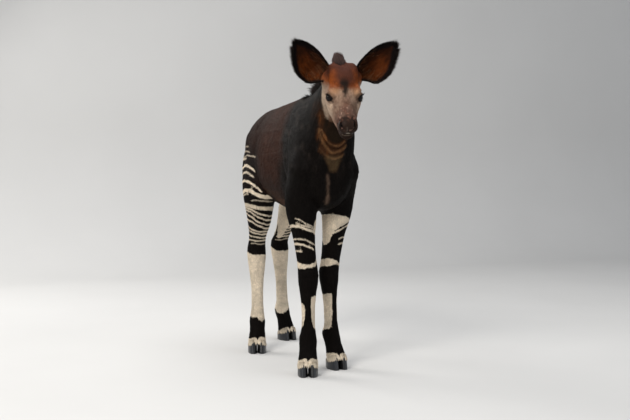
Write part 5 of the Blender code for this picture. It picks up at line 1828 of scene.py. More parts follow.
@dataclass
class Studio:
    """The pale floor, the soft lights and the camera at the photograph's angle."""

    calf: Calf
    camera_place: tuple[float, float, float] = (-1.280, -3.316, 0.72)
    view_way: tuple[float, float, float] = (0.354, 0.935, 0.0)
    lens: float = 57.14
    shift: float = -0.0667
    floor_size: float = 15.0
    floor_back: float = 3.0
    sweep_steps: int = 10
    sweep_step: float = 0.16
    wall_height: float = 4.0
    lamps: tuple = (
        ("key", (-3.0, -2.6, 3.3), 1.7, 165, (1.0, 0.965, 0.91)),
        ("fill", (2.6, -3.0, 1.7), 3.0, 22, (0.95, 0.97, 1.0)),
        ("rim", (-1.9, 2.7, 2.6), 1.8, 80, (1.0, 0.98, 0.95)),
        ("top", (0.4, 0.0, 3.8), 2.4, 55, (1.0, 0.99, 0.97)),
    )

    def build(self) -> None:
        """Makes the floor, the world, the lights and the camera."""
        self.floor()
        self.world()
        for name, place, size, power, tone in self.lamps:
            self.lamp(name, place, size, power, tone)
        self.camera()

    def floor(self) -> None:
        """A pale sheet that rises behind the calf in one soft sweep."""
        bpy.ops.object.select_all(action="DESELECT")
        bpy.ops.mesh.primitive_plane_add(size=1, location=(0, 0, 0))
        floor = bpy.context.object
        floor.name = floor.data.name = "studio_floor"
        mesh = floor.data
        for vertex in mesh.vertices:
            vertex.co.x *= self.floor_size
            vertex.co.y = -self.floor_size / 2 if vertex.co.y < 0 else self.floor_back
        bpy.ops.object.mode_set(mode="EDIT")
        bpy.ops.mesh.select_all(action="DESELECT")
        bpy.ops.object.mode_set(mode="OBJECT")
        for edge in mesh.edges:
            edge.select = all(mesh.vertices[v].co.y > self.floor_back - 0.1 for v in edge.vertices)
        bpy.ops.object.mode_set(mode="EDIT")
        bpy.ops.mesh.select_mode(type="EDGE")
        reach = self.sweep_step
        for step in range(self.sweep_steps):
            turn = math.radians(90 * (step + 0.5) / self.sweep_steps)
            bpy.ops.mesh.extrude_edges_move(
                TRANSFORM_OT_translate={"value": (0, reach * math.cos(turn), reach * math.sin(turn))})
        bpy.ops.mesh.extrude_edges_move(TRANSFORM_OT_translate={"value": (0, 0, self.wall_height)})
        bpy.ops.mesh.select_all(action="SELECT")
        bpy.ops.mesh.normals_make_consistent(inside=False)
        bpy.ops.object.mode_set(mode="OBJECT")
        bpy.ops.object.shade_smooth_by_angle(angle=math.radians(60))
        s = Shader("studio_paper")
        cloud = s.grain(s.place(), 0.7, 3.0)
        tone = s.blend(cloud, (0.56, 0.555, 0.545), (0.61, 0.605, 0.595))
        mesh.materials.append(s.finish(Base_Color=tone, Roughness=0.9, Specular_IOR_Level=0.2))

    @staticmethod
    def world() -> None:
        """An even pale sky, shown with plain contrast."""
        world = bpy.data.worlds.new("studio_air")
        bpy.context.scene.world = world
        world.use_nodes = True
        air = next(n for n in world.node_tree.nodes if n.type == "BACKGROUND")
        air.inputs["Color"].default_value = (0.90, 0.94, 1.0, 1)
        air.inputs["Strength"].default_value = 0.50
        bpy.context.scene.view_settings.view_transform = "Standard"

    @staticmethod
    def lamp(name: str, place: Colour, size: float, power: float, tone: Colour) -> None:
        """Adds a soft square lamp that faces the calf's shoulder.

        Args:
            name: Its name.
            place: Where it hangs.
            size: The width of its square.
            power: Its watts.
            tone: Its colour.
        """
        data = bpy.data.lights.new(name, "AREA")
        data.size, data.energy, data.color = size, power, tone
        lamp = bpy.data.objects.new(name, data)
        lamp.location = place
        lamp.rotation_euler = (Vector((0, 0.05, 0.62)) - Vector(place)).to_track_quat("-Z", "Y").to_euler()
        bpy.context.scene.collection.objects.link(lamp)

    def camera(self) -> None:
        """Sets the camera where the photograph's stood."""
        data = bpy.data.cameras.new("camera")
        data.sensor_width, data.lens, data.shift_y = 36, self.lens, self.shift
        camera = bpy.data.objects.new("camera", data)
        camera.location = Vector(self.camera_place) + Vector(self.calf.offset)
        camera.rotation_euler = Vector(self.view_way).to_track_quat("-Z", "Y").to_euler()
        bpy.context.scene.collection.objects.link(camera)
        bpy.context.scene.camera = camera


@dataclass
class HairMesh:
    """Closed leaves of hair, gathered as arrays and made one piece."""

    points: list = field(default_factory=list)
    faces: list = field(default_factory=list)
    normals: list = field(default_factory=list)
    tones: list = field(default_factory=list)
    places: list = field(default_factory=list)
    count: int = 0

    def add(self, points: Array, faces: Array, normals: Array, tones: Array, places: Array) -> None:
        """Adds leaves of one pattern.

        Args:
            points: Leaves by vertices by 3.
            faces: The pattern's triangles.
            normals: How each vertex is shaded, leaves by vertices by 3.
            tones: The colour of each vertex, leaves by vertices by 3.
            places: The baking map's place of each vertex, leaves by vertices by 2.
        """
        leaves, corners = points.shape[:2]
        base = np.arange(leaves)[:, None, None] * corners + self.count
        self.faces.append((faces[None] + base).reshape(-1, 3))
        for store, rows in ((self.points, points), (self.normals, normals), (self.tones, tones)):
            store.append(rows.reshape(-1, 3))
        self.places.append(places.reshape(-1, 2))
        self.count += leaves * corners

    def build(self, name: str, calf: Calf, finish: bpy.types.Material, slot: str) -> bpy.types.Object:
        """Makes the piece, shaded softly, and lets it ride on the body.

        Args:
            name: The piece's name.
            calf: The calf, whose offset places the piece.
            finish: Its material.
            slot: Not used.

        Returns:
            The new piece.
        """
        points, faces = np.concatenate(self.points), np.concatenate(self.faces)
        piece = mesh_of(name, points + calf.offset, faces)
        paint(piece.data, "Coat", np.concatenate(self.tones))
        places = np.clip(np.concatenate(self.places), 0.002, 0.998)
        layer = piece.data.uv_layers.new(name="OFBake")
        layer.data.foreach_set("uv", places[faces.ravel()].astype(np.float32).ravel())
        piece.data.normals_split_custom_set_from_vertices(unit(np.concatenate(self.normals)).tolist())
        piece.data.materials.append(finish)
        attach(piece, "root")
        return piece


LEAF = np.array([(0, 1, 3), (0, 3, 2), (1, 4, 3), (3, 4, 2), (0, 2, 1), (2, 4, 1)])


@dataclass
class Coat:
    """The short hair: thin closed tufts that overlap and lie along the body."""

    calf: Calf
    markings: Markings
    skin: Skin
    seed: int = 11
    leg_rows: tuple = (
        (0.030, 0.0165, 0.0022, 0.0016, 330e3), (0.052, 0.0130, 0.0021, 0.0013, 260e3),
        (0.066, 0.0064, 0.0019, 0.0008, 192e3), (0.30, 0.0062, 0.0019, 0.0008, 196e3),
        (0.45, 0.0060, 0.0020, 0.0008, 196e3), (0.78, 0.0072, 0.0026, 0.0010, 142e3),
        (0.86, 0.0130, 0.0034, 0.0017, 90e3),
    )
    trunk_hair: HairRow = (0.0150, 0.0037, 0.0018, 76e3)
    haunch_hair: HairRow = (0.0080, 0.0027, 0.0011, 122e3)
    neck_hair: HairRow = (0.0150, 0.0034, 0.0019, 100e3)
    throat_hair: HairRow = (0.0075, 0.0022, 0.0010, 180e3)
    face_hair: HairRow = (0.0075, 0.0020, 0.0010, 230e3)
    nose_hair: HairRow = (0.0038, 0.0013, 0.0006, 330e3)
    poll_hair: HairRow = (0.0085, 0.0024, 0.0012, 170e3)
    tail_hair: HairRow = (0.0150, 0.0026, 0.0018, 110e3)
    ear_cup_hair: HairRow = (0.0110, 0.0015, 0.0016, 95e3)
    ear_back_hair: HairRow = (0.0085, 0.0021, 0.0010, 150e3)

    def growth(self, points: Array, normals: Array, parts: Array) -> Array:
        """The size and number of tufts at places on the skin.

        Args:
            points: Places in the calf's axes.
            normals: The skin's directions there.
            parts: Their regions.

        Returns:
            Rows of length, width, lift and tufts per square metre.
        """
        rows = np.array(self.leg_rows)
        sizes = np.stack([np.interp(points[:, 2], rows[:, 0], rows[:, k]) for k in (1, 2, 3, 4)], 1)
        torso = parts == Part.TORSO.value
        marked = (smooth(0.34, 0.46, points[:, 1]) * smooth(0.90, 0.78, points[:, 2]))[:, None]
        trunk = np.array(self.trunk_hair)
        sizes[torso] = (trunk + marked * (np.array(self.haunch_hair) - trunk))[torso]
        neck = parts == Part.NECK.value
        bib = (smooth(-0.075, -0.110, points[:, 1]) * smooth(0.06, 0.04, np.abs(points[:, 0])))[:, None]
        mane = np.array(self.neck_hair)
        sizes[neck] = (mane + bib * (np.array(self.throat_hair) - mane))[neck]
        sizes[parts == Part.TAIL.value] = self.tail_hair
        head = parts == Part.HEAD.value
        q = self.calf.within(self.calf.head, points)
        nose = smooth(-0.12, -0.22, q[:, 1])[:, None]
        face = np.array(self.face_hair)
        fine = np.array(self.nose_hair)
        sizes[head] = (face + nose * (fine - face))[head]
        rear = smooth(-0.08, -0.03, q[:, 1])[:, None]
        sizes[head] += (rear * (np.array(self.poll_hair) - sizes))[head]
        sizes[head, 3] *= (1 - self.skin.bare(points[head])) * self.off_mouth(q[head])
        for part, side in ((Part.EAR_RIGHT, -1), (Part.EAR_LEFT, 1)):
            mine = parts == part.value
            inner = normals[mine] @ np.array(self.calf.ear_frame(side))[:3, 1] < 0
            sizes[mine] = np.where(inner[:, None], self.ear_cup_hair, self.ear_back_hair)
        return sizes

    @staticmethod
    def off_mouth(q: Array) -> Array:
        """0 on the mouth line and the nostrils, 1 away from them.

        Args:
            q: Places in the head's axes.

        Returns:
            The share for each place.
        """
        line = smooth(0.0015, 0.004, np.abs(q[:, 2] + 0.013)) + smooth(-0.215, -0.200, q[:, 1])
        clear = np.clip(line, 0, 1)
        for sign in (-1, 1):
            clear = clear * (1 - blob(q, (sign * 0.0225, -0.262, 0.022), (0.010, 0.010, 0.009)))
        return clear * smooth(0.9, 1.3, NOSE.nostril_gap(q))

    def pieces(self) -> tuple[tuple[str, Array, str], ...]:
        """The coat's pieces: a name, the skin's faces that it grows on, and its slot.

        Returns:
            One row for each piece.
        """
        part = self.skin.parts[self.skin.faces].max(1)
        side = self.skin.mesh_points[self.skin.faces[:, 0], 0]
        rows = [
            ("coat_trunk_right", (part == Part.TORSO.value) & (side <= 0), "brown_coat"),
            ("coat_trunk_left", (part == Part.TORSO.value) & (side > 0), "brown_coat"),
        ]
        slots = {Part.HEAD: "face_coat", Part.EAR_LEFT: "ear_coat", Part.EAR_RIGHT: "ear_coat",
                 Part.NECK: "black_coat",
                 Part.TAIL: "black_coat"}
        for item in list(Part)[1:]:
            name = "coat_" + item.name.lower().replace("fore_", "foreleg_").replace("hind_", "hindleg_")
            rows.append((name, part == item.value, slots.get(item, "white_coat")))
        return tuple(rows)

    def build(self) -> list[bpy.types.Object]:
        """Grows every piece of the coat.

        Returns:
            The finished pieces.
        """
        finish = HairFinish("short_hair").material()
        made = []
        for number, (name, mine, slot) in enumerate(self.pieces()):
            rng = np.random.default_rng(self.seed + number)
            hair = HairMesh()
            self.grow(hair, self.skin.faces[mine], rng)
            made.append(hair.build(name, self.calf, finish, slot))
        return made

    def grow(self, hair: HairMesh, faces: Array, rng: np.random.Generator) -> None:
        """Sows tufts on some of the skin's faces.

        Args:
            hair: Where they are gathered.
            faces: The faces they grow on.
            rng: The source of their scatter.
        """
        skin = self.skin
        corner = skin.mesh_points[faces]
        area = 0.5 * np.linalg.norm(np.cross(corner[:, 1] - corner[:, 0], corner[:, 2] - corner[:, 0]),
                                    axis=1)
        parts = skin.parts[faces].max(1)
        normals = unit(skin.normals[faces].mean(1))
        density = self.growth(corner.mean(1), normals, parts)[:, 3] * 1.0
        total = np.cumsum(area * density)
        count = int(total[-1])
        chosen = np.searchsorted(total, (np.arange(count) + rng.random(count)) * total[-1] / count)
        chosen = np.minimum(chosen, len(faces) - 1)
        weights = rng.dirichlet((1, 1, 1), count)
        rows = faces[chosen]
        root = np.einsum("ij,ijk->ik", weights, skin.mesh_points[rows])
        up = unit(np.einsum("ij,ijk->ik", weights, skin.normals[rows]))
        way = np.einsum("ij,ijk->ik", weights, skin.lie[rows])
        kinds = parts[chosen]
        sizes = self.growth(root, up, kinds)
        tone = self.markings.colours(root + unit(way) * sizes[:, :1] * 0.45, up, kinds, 0.0006)
        self.leaves(hair, root, up, way, sizes, tone, kinds, rng)

    def leaves(self, hair: HairMesh, root: Array, up: Array, way: Array, sizes: Array, tone: Array,
               kinds: Array, rng: np.random.Generator) -> None:
        """Shapes one leaf of hair at each root.

        Args:
            hair: Where they are gathered.
            root: The roots.
            up: The skin's directions.
            way: The lie of the hair.
            sizes: Rows of length, width and lift.
            tone: The colours.
            kinds: The regions.
            rng: The source of the scatter.
        """
        count = len(root)
        clump = noise(root, 0.022, 70) * 0.16 + rng.normal(0, 0.13, count)
        side = np.cross(way, up)
        way = unit(way * np.cos(clump)[:, None] + side * np.sin(clump)[:, None])
        way = unit(way - up * np.einsum("ij,ij->i", way, up)[:, None])
        side = np.cross(way, up)
        length = (sizes[:, 0] * rng.uniform(0.70, 1.25, count))[:, None]
        width = (sizes[:, 1] * rng.uniform(0.75, 1.25, count))[:, None]
        lift = (sizes[:, 2] * rng.uniform(0.65, 1.30, count) * (1 + 0.35 * noise(root, 0.015, 71)))[:, None]
        middle = root + way * length * 0.42 + up * lift * 0.72
        points = np.stack([
            root - up * 0.0006,
            middle + side * width * 0.5 - up * width * 0.10,
            middle - side * width * 0.5 - up * width * 0.10,
            middle + up * (width * 0.13),
            root + way * length + up * lift * 0.92 + side * (width * rng.uniform(-0.5, 0.5, count)[:, None]),
        ], 1)
        shading = np.stack([
            up, up + side * 0.55, up - side * 0.55, up + way * 0.10, up + way * 0.30,
        ], 1)
        bright = rng.normal(1.0, 0.10, count) * (1 + 0.10 * noise(root, 0.006, 72))
        ramp = np.array([0.62, 0.92, 0.92, 1.04, 1.16])
        tones = tone[:, None, :] * np.clip(bright, 0.65, 1.4)[:, None, None] * ramp[None, :, None]
        patch = np.array([(0, -0.5), (-0.5, 0), (0.5, 0), (0, 0.12), (0, 0.5)]) * 0.003
        places = self.unwrap(root, kinds)[:, None, :] + patch[None]
        hair.add(points, LEAF, shading, tones, places)

    def unwrap(self, points: Array, kinds: Array) -> Array:
        """Places on a flat unwrap of the skin: round each region and along it.

        Args:
            points: Places in the calf's axes.
            kinds: Their regions.

        Returns:
            Rows of u and v.
        """
        places = np.zeros((len(points), 2))
        for kind in np.unique(kinds):
            mine = kinds == kind
            places[mine] = self.rolled_out(points[mine], Part(int(kind)))
        return places

    def rolled_out(self, points: Array, part: Part) -> Array:
        """The unwrap of one region, from 0 to 1 both ways.

        Args:
            points: Places in the calf's axes.
            part: The region.

        Returns:
            Rows of u and v.
        """
        x, y, z = points.T
        turn = 2 * math.pi
        if part is Part.TORSO:
            return np.stack([np.arctan2(x, z - 0.77) / turn + 0.5, (y + 0.17) / 0.87], 1)
        if part is Part.NECK:
            return np.stack([np.arctan2(x, (z - 0.90) + (y + 0.02)) / turn + 0.5, (z - y - 0.45) / 0.85], 1)
        if part is Part.HEAD:
            q = self.calf.within(self.calf.head, points)
            return np.stack([np.arctan2(q[:, 0], q[:, 2] - 0.01) / turn + 0.5, (0.04 - q[:, 1]) / 0.34], 1)
        if part in (Part.EAR_RIGHT, Part.EAR_LEFT):
            q = self.calf.within(self.calf.ear_frame(-1 if part is Part.EAR_RIGHT else 1), points)
            half = np.where(q[:, 1] > 0.006 - 2.2 * q[:, 0] ** 2, 0.25, 0.75)
            return np.stack([half + q[:, 0] * 1.6, 0.03 + q[:, 2] / 0.185], 1)
        if part is Part.TAIL:
            return np.stack([np.arctan2(x, y - 0.69) / turn + 0.5, (z - 0.54) / 0.34], 1)
        leg = next(item for item in LEGS if item.part is part)
        angle, _ = leg.around(points)
        return np.stack([(angle + 90) / 360, z / 0.92], 1)


@dataclass
class Locks:
    """Longer locks: flat, tapered and bent, each closed."""

    rings: tuple[float, ...] = (0.0, 0.28, 0.58, 0.84)
    girth: tuple[float, ...] = (0.75, 1.0, 0.80, 0.45)

    def add(self, hair: HairMesh, root: Array, way: Array, bend: Array, flat: Array, length: Array,
            width: Array, tone: Array, places: Array, thick: float = 0.30, tip_tone: float = 1.25) -> None:
        """Adds locks that start along one way and bend to another.

        Args:
            hair: Where they are gathered.
            root: The roots.
            way: The ways they leave the skin.
            bend: What is added to the way towards the tip.
            flat: The direction in which each is flat.
            length: Their lengths.
            width: Their widths.
            tone: Their colours.
            places: Their places on the baking map.
            thick: Their thickness as a share of the width.
            tip_tone: How much lighter the tips are.
        """
        way, length, width = unit(way), length[:, None], width[:, None]
        points, shading, tones, spots = [], [], [], []
        corners = ((1, 0), (0, 1), (-1, 0), (0, -1))
        for ring, girth in zip(self.rings, self.girth):
            centre = root + (way + bend * ring) * length * ring
            run = unit(way + 2 * bend * ring)
            up = unit(flat - run * np.einsum("ij,ij->i", flat, run)[:, None])
            side = np.cross(run, up)
            for across, above in corners:
                points.append(centre + side * across * width * girth / 2
                              + up * above * width * girth * thick / 2)
                shading.append(up * 0.6 + side * across * 0.8 + up * above * 0.8)
                tones.append(tone * (0.60 + (tip_tone - 0.60) * ring))
                spots.append(places + np.array([across * 0.0012, (ring - 0.5) * 0.003]))
        points.append(root + (way + bend) * length)
        shading.append(flat)
        tones.append(tone * tip_tone)
        spots.append(places + np.array([0, 0.0015]))
        faces = [(0, 1, 2), (0, 2, 3)]
        last = len(self.rings) * 4
        for ring in range(len(self.rings) - 1):
            for corner in range(4):
                a, b = ring * 4 + corner, ring * 4 + (corner + 1) % 4
                faces += [(a, a + 4, b + 4), (a, b + 4, b)]
        faces += [(last - 4 + c, last, last - 4 + (c + 1) % 4) for c in range(4)]
        stack = np.stack(points, 1)
        pattern = np.array(faces)
        first = stack[0]
        middle = first.mean(0)
        corner = first[pattern] - middle
        if np.einsum("ij,ij->", corner[:, 0], np.cross(corner[:, 1], corner[:, 2])) < 0:
            pattern = pattern[:, ::-1]
        hair.add(stack, pattern, np.stack(shading, 1), np.stack(tones, 1), np.stack(spots, 1))


@dataclass
class LongHair:
    """The longer hair: the mane, the tuft between the ears and the brush of the tail."""

    calf: Calf
    skin: Skin
    coat: Coat
    seed: int = 41
    tuft: tuple = (
        (-0.021, -0.030, 0.020), (-0.009, -0.034, 0.024), (0.004, -0.029, 0.018), (-0.024, -0.014, 0.029),
        (-0.011, -0.016, 0.035), (0.002, -0.013, 0.027), (-0.019, 0.001, 0.036), (-0.007, 0.003, 0.034),
    )

    def build(self) -> list[bpy.types.Object]:
        """Makes the three pieces.

        Returns:
            The mane, the crown tuft and the tail brush.
        """
        finish = HairFinish("long_hair", 0.48, 0.50).material()
        made = []
        for name, grow, slot in (("mane", self.mane, "black_coat"),
                                 ("crown_tuft", self.crown_tuft, "face_coat"),
                                 ("tail_brush", self.brush, "black_coat")):
            hair = HairMesh()
            grow(hair, np.random.default_rng(self.seed))
            made.append(hair.build(name, self.calf, finish, slot))
        return made

    def dropped(self, starts: Array, way: Array) -> Array:
        """Where straight lines from the starts first meet the skin.

        Args:
            starts: Where the lines start.
            way: Where they all point.

        Returns:
            The places on the skin.
        """
        aim = Vector(way)
        tree = self.skin.tree
        hits = [tree.ray_cast(Vector(start), aim)[0] or tree.find_nearest(Vector(start))[0]
                for start in starts]
        return np.array(hits)

    def mane(self, hair: HairMesh, rng: np.random.Generator) -> None:
        """Grows locks along the crest, which lean back over one another.

        Args:
            hair: Takes the locks.
            rng: The source of the random draws.
        """
        count = 2300
        share = rng.random(count)
        side = rng.normal(0, 0.0042, count)
        middle = -0.017 * np.maximum(0.0, 1 - 1.5 * share)
        starts = np.stack([middle + side, -0.158 + 0.222 * share, np.full(count, 1.5)], 1)
        root = self.dropped(starts, (0, 0, -1))
        clump = noise(root, 0.017, 80)
        way = np.stack([side * 42 + 0.22 * clump + rng.normal(0, 0.07, count),
                        0.66 + 0.10 * clump + rng.normal(0, 0.06, count), np.full(count, 0.86)], 1)
        bend = np.stack([side * 20, np.full(count, 0.30), np.full(count, -0.24)], 1)
        flat = np.tile((1.0, 0.0, 0.0), (count, 1)) + rng.normal(0, 0.25, (count, 3))
        ends = 0.55 + 0.45 * smooth(0.0, 0.08, share) * smooth(1.0, 0.86, share)
        length = 0.053 * (1 - 0.20 * share) * ends * rng.uniform(0.62, 1.0, count) * (1 + 0.10 * clump)
        tone = np.array((0.017, 0.0115, 0.0100)) * np.clip(rng.normal(1, 0.22, count), 0.5, 1.7)[:, None]
        places = self.coat.unwrap(root, np.full(count, Part.NECK.value))
        Locks().add(hair, root - unit(way) * 0.002, way, bend, flat, length,
                    rng.uniform(0.0015, 0.0027, count), tone,
                    places, 0.34, 1.7)

    def crown_tuft(self, hair: HairMesh, rng: np.random.Generator) -> None:
        """Grows the soft tuft between the ears, which is rounded and combed back.

        Args:
            hair: Takes the locks.
            rng: The source of the random draws.
        """
        rows = np.repeat(np.array(self.tuft), 140, 0)
        count = len(rows)
        rows = rows * (0.85, 1.0, 1.0) - (0.004, 0.0, 0.0)
        rows = rows + rng.normal(0, 1, (count, 3)) * (0.0036, 0.0052, 0.0)
        turn = np.array(self.calf.head)[:3, :3]
        starts = self.calf.outward(self.calf.head, np.stack([rows[:, 0], rows[:, 1], np.full(count, 0.3)], 1))
        root = self.dropped(starts, -turn[:, 2])
        local = np.stack([(rows[:, 0] + 0.012) * 8, np.full(count, 0.50), np.full(count, 0.90)], 1)
        way = (local + rng.normal(0, 0.07, (count, 3))) @ turn.T
        bend = np.stack([-(rows[:, 0] + 0.012) * 11, np.full(count, 0.36), np.full(count, -0.26)], 1) @ turn.T
        flat = (np.stack([rows[:, 0] * 10, np.full(count, -0.5), np.ones(count)], 1)) @ turn.T
        edge = np.hypot(rows[:, 0] + 0.012, rows[:, 1] + 0.014) / 0.024
        clump = noise(root, 0.009, 81)
        length = (0.037 - 0.017 * np.clip(edge, 0, 1) ** 2) * rng.uniform(0.62, 1.0, count)
        length = length * (1 + 0.16 * clump)
        shade = np.clip(rng.normal(1 + 0.35 * clump, 0.22, count), 0.4, 1.9)
        tone = np.array((0.036, 0.022, 0.019)) * shade[:, None]
        places = self.coat.unwrap(root, np.full(count, Part.HEAD.value))
        Locks().add(hair, root - unit(way) * 0.002, way, bend, flat, length,
                    rng.uniform(0.0012, 0.0024, count), tone,
                    places, 0.40, 1.6)

    def brush(self, hair: HairMesh, rng: np.random.Generator) -> None:
        """Grows the brush at the end of the tail, which closes in again at its tip.

        Args:
            hair: Takes the locks.
            rng: The source of the random draws.
        """
        count = 480
        angle = rng.random(count) * 2 * math.pi
        height = 0.652 - 0.082 * rng.random(count)
        out = np.stack([np.cos(angle), np.sin(angle), np.zeros(count)], 1)
        root = out * 0.0072 + np.stack([np.zeros(count), np.full(count, 0.695), height], 1)
        way = out * 0.26 + (0, 0, -1.0) + rng.normal(0, 0.05, (count, 3))
        length = 0.092 * rng.uniform(0.66, 1.0, count)
        tone = np.array((0.014, 0.0095, 0.0085)) * np.clip(rng.normal(1, 0.22, count), 0.5, 1.7)[:, None]
        places = self.coat.unwrap(root, np.full(count, Part.TAIL.value))
        Locks().add(hair, root, way, out * -0.34, out, length, rng.uniform(0.0022, 0.0040, count), tone,
                    places,
                    0.32, 1.7)


@dataclass
class EarHair:
    """The dark fringe along the rim of each ear, its pale outer haze and the long hairs in its cup."""

    calf: Calf
    coat: Coat
    seed: int = 51
    rims: tuple = (
        (2900, (0.0065, 0.0115), 0.0011, (0.0050, 0.0038, 0.0036), 1.3, False),
        (1500, (0.0110, 0.0185), 0.0006, (0.026, 0.019, 0.016), 2.0, True),
    )
    cup_count: int = 420

    def build(self) -> list[bpy.types.Object]:
        """Makes one piece for each ear.

        Returns:
            The two fringes.
        """
        finish = HairFinish("ear_hair", 0.60, 0.20).material()
        made = []
        for side, name in ((-1, "ear_fringe_right"), (1, "ear_fringe_left")):
            hair = HairMesh()
            rng = np.random.default_rng(self.seed + side)
            few = 1.0
            for count, reach, width, tone, tip_tone, outer in self.rims:
                self.rim(hair, side, rng, int(count * few), reach, width, tone, tip_tone, outer)
            self.cup(hair, side, rng, int(self.cup_count * few))
            made.append(hair.build(name, self.calf, finish, "ear_coat"))
        return made

    def grown(self, hair: HairMesh, side: int, rng: np.random.Generator, root: Array, way: Array, bend: Array,
              length: Array, width: float, tone: Array, tip_tone: float) -> None:
        """Turns places and ways in the ear's axes to the calf's, and adds their hairs.

        Args:
            hair: Takes the hairs.
            side: -1 for the right one and 1 for the left.
            rng: The source of the random draws.
            root: Where they start.
            way: Where they point.
            bend: Where they bend to.
            length: Their lengths.
            width: Their width.
            tone: Their colours.
            tip_tone: How much lighter their tips are.
        """
        axes = self.calf.ear_frame(side)
        turn = np.array(axes)[:3, :3]
        count = len(root)
        own = self.calf.outward(axes, root)
        kind = Part.EAR_RIGHT if side < 0 else Part.EAR_LEFT
        places = self.coat.unwrap(own, np.full(count, kind.value))
        flat = rng.normal(0, 1, (count, 3))
        Locks((0.0, 0.45), (0.9, 0.8)).add(hair, own, way @ turn.T, bend @ turn.T, flat, length,
                                           width * rng.uniform(0.7, 1.3, count), tone, places, 0.6, tip_tone)

    def rim(self, hair: HairMesh, side: int, rng: np.random.Generator, count: int, reach: tuple[float, float],
            width: float, tone: Colour, tip_tone: float, outer: bool) -> None:
        """Grows hairs out of the rim.

        Args:
            hair: Where they are gathered.
            side: Which ear.
            rng: The source of the scatter.
            count: How many hairs.
            reach: The shortest and longest.
            width: Their width.
            tone: Their colour.
            tip_tone: How much lighter the tips are.
            outer: Whether they grow on the lower, outer edge alone.
        """
        share = 0.02 + 0.975 * rng.random(count) ** 0.85
        over = np.where(rng.random(count) < (0.0 if outer else 0.48), 1.0, -1.0)
        over = over * rng.uniform(0.90, 1.0, count)
        over = np.where(share > 0.93, rng.uniform(-1.0, 1.0, count), over)
        place, out = Ear().place(share, over, side)
        aside = 0.80 * np.where(share > 0.93, np.abs(over) * 0.5, 1 - 0.5 * smooth(0.70, 0.93, share))
        way = out * aside[:, None] + np.stack([0 * share, 0.10 + 0 * share, 0.25 + 0.75 * share], 1)
        way = way + rng.normal(0, 0.16, (count, 3))
        length = rng.uniform(*reach, count) * (0.65 + 0.35 * smooth(0.02, 0.25, share))
        bend = np.tile((0.0, 0.10, 0.20), (count, 1))
        tones = np.array(tone) * np.clip(rng.normal(1, 0.2, count), 0.5, 1.6)[:, None]
        self.grown(hair, side, rng, place - unit(way) * 0.0045, way, bend, length, width, tones, tip_tone)

    def cup(self, hair: HairMesh, side: int, rng: np.random.Generator, count: int) -> None:
        """Grows the long hairs that stand in the ear's cup.

        Args:
            hair: Takes the hairs.
            side: -1 for the right one and 1 for the left.
            rng: The source of the random draws.
            count: How many hairs.
        """
        share = rng.uniform(0.05, 0.55, count)
        over = rng.uniform(-0.80, 0.85, count)
        place, _ = Ear().place(share, over, side)
        place[:, 1] -= 0.0012
        way = np.stack([-0.25 * np.sign(place[:, 0]) + 0 * share, -0.22 + 0 * share, 0.9 + 0 * share], 1)
        way = way + rng.normal(0, 0.12, (count, 3))
        light = rng.random(count)[:, None] ** 2
        tone = np.array((0.085, 0.026, 0.009)) * (1 - light) + np.array((0.26, 0.150, 0.080)) * light
        length = rng.uniform(0.012, 0.024, count)
        bend = np.tile((0.0, 0.14, 0.05), (count, 1))
        self.grown(hair, side, rng, place, way, bend, length, 0.0007, tone, 1.2)


@dataclass(frozen=True)
class EyeGlass:
    """The finish of the eyeballs: a painted iris under a wet coat."""

    wetness: float = 0.16

    def material(self) -> bpy.types.Material:
        """Makes the finish from the ball's colour attribute.

        Returns:
            The material of the eyeballs.
        """
        s = Shader("eye_glass")
        fibre = s.grain(s.place(), 0.0007, 1.0, 0.5)
        tone = s.blend(0.35, s.tone("Coat"), s.blend(fibre, (0.6, 0.6, 0.6), (1.4, 1.4, 1.4)), "MULTIPLY")
        return s.finish(Base_Color=tone, Roughness=0.22, Coat_Weight=self.wetness, Coat_Roughness=0.02,
                        Specular_IOR_Level=0.05)


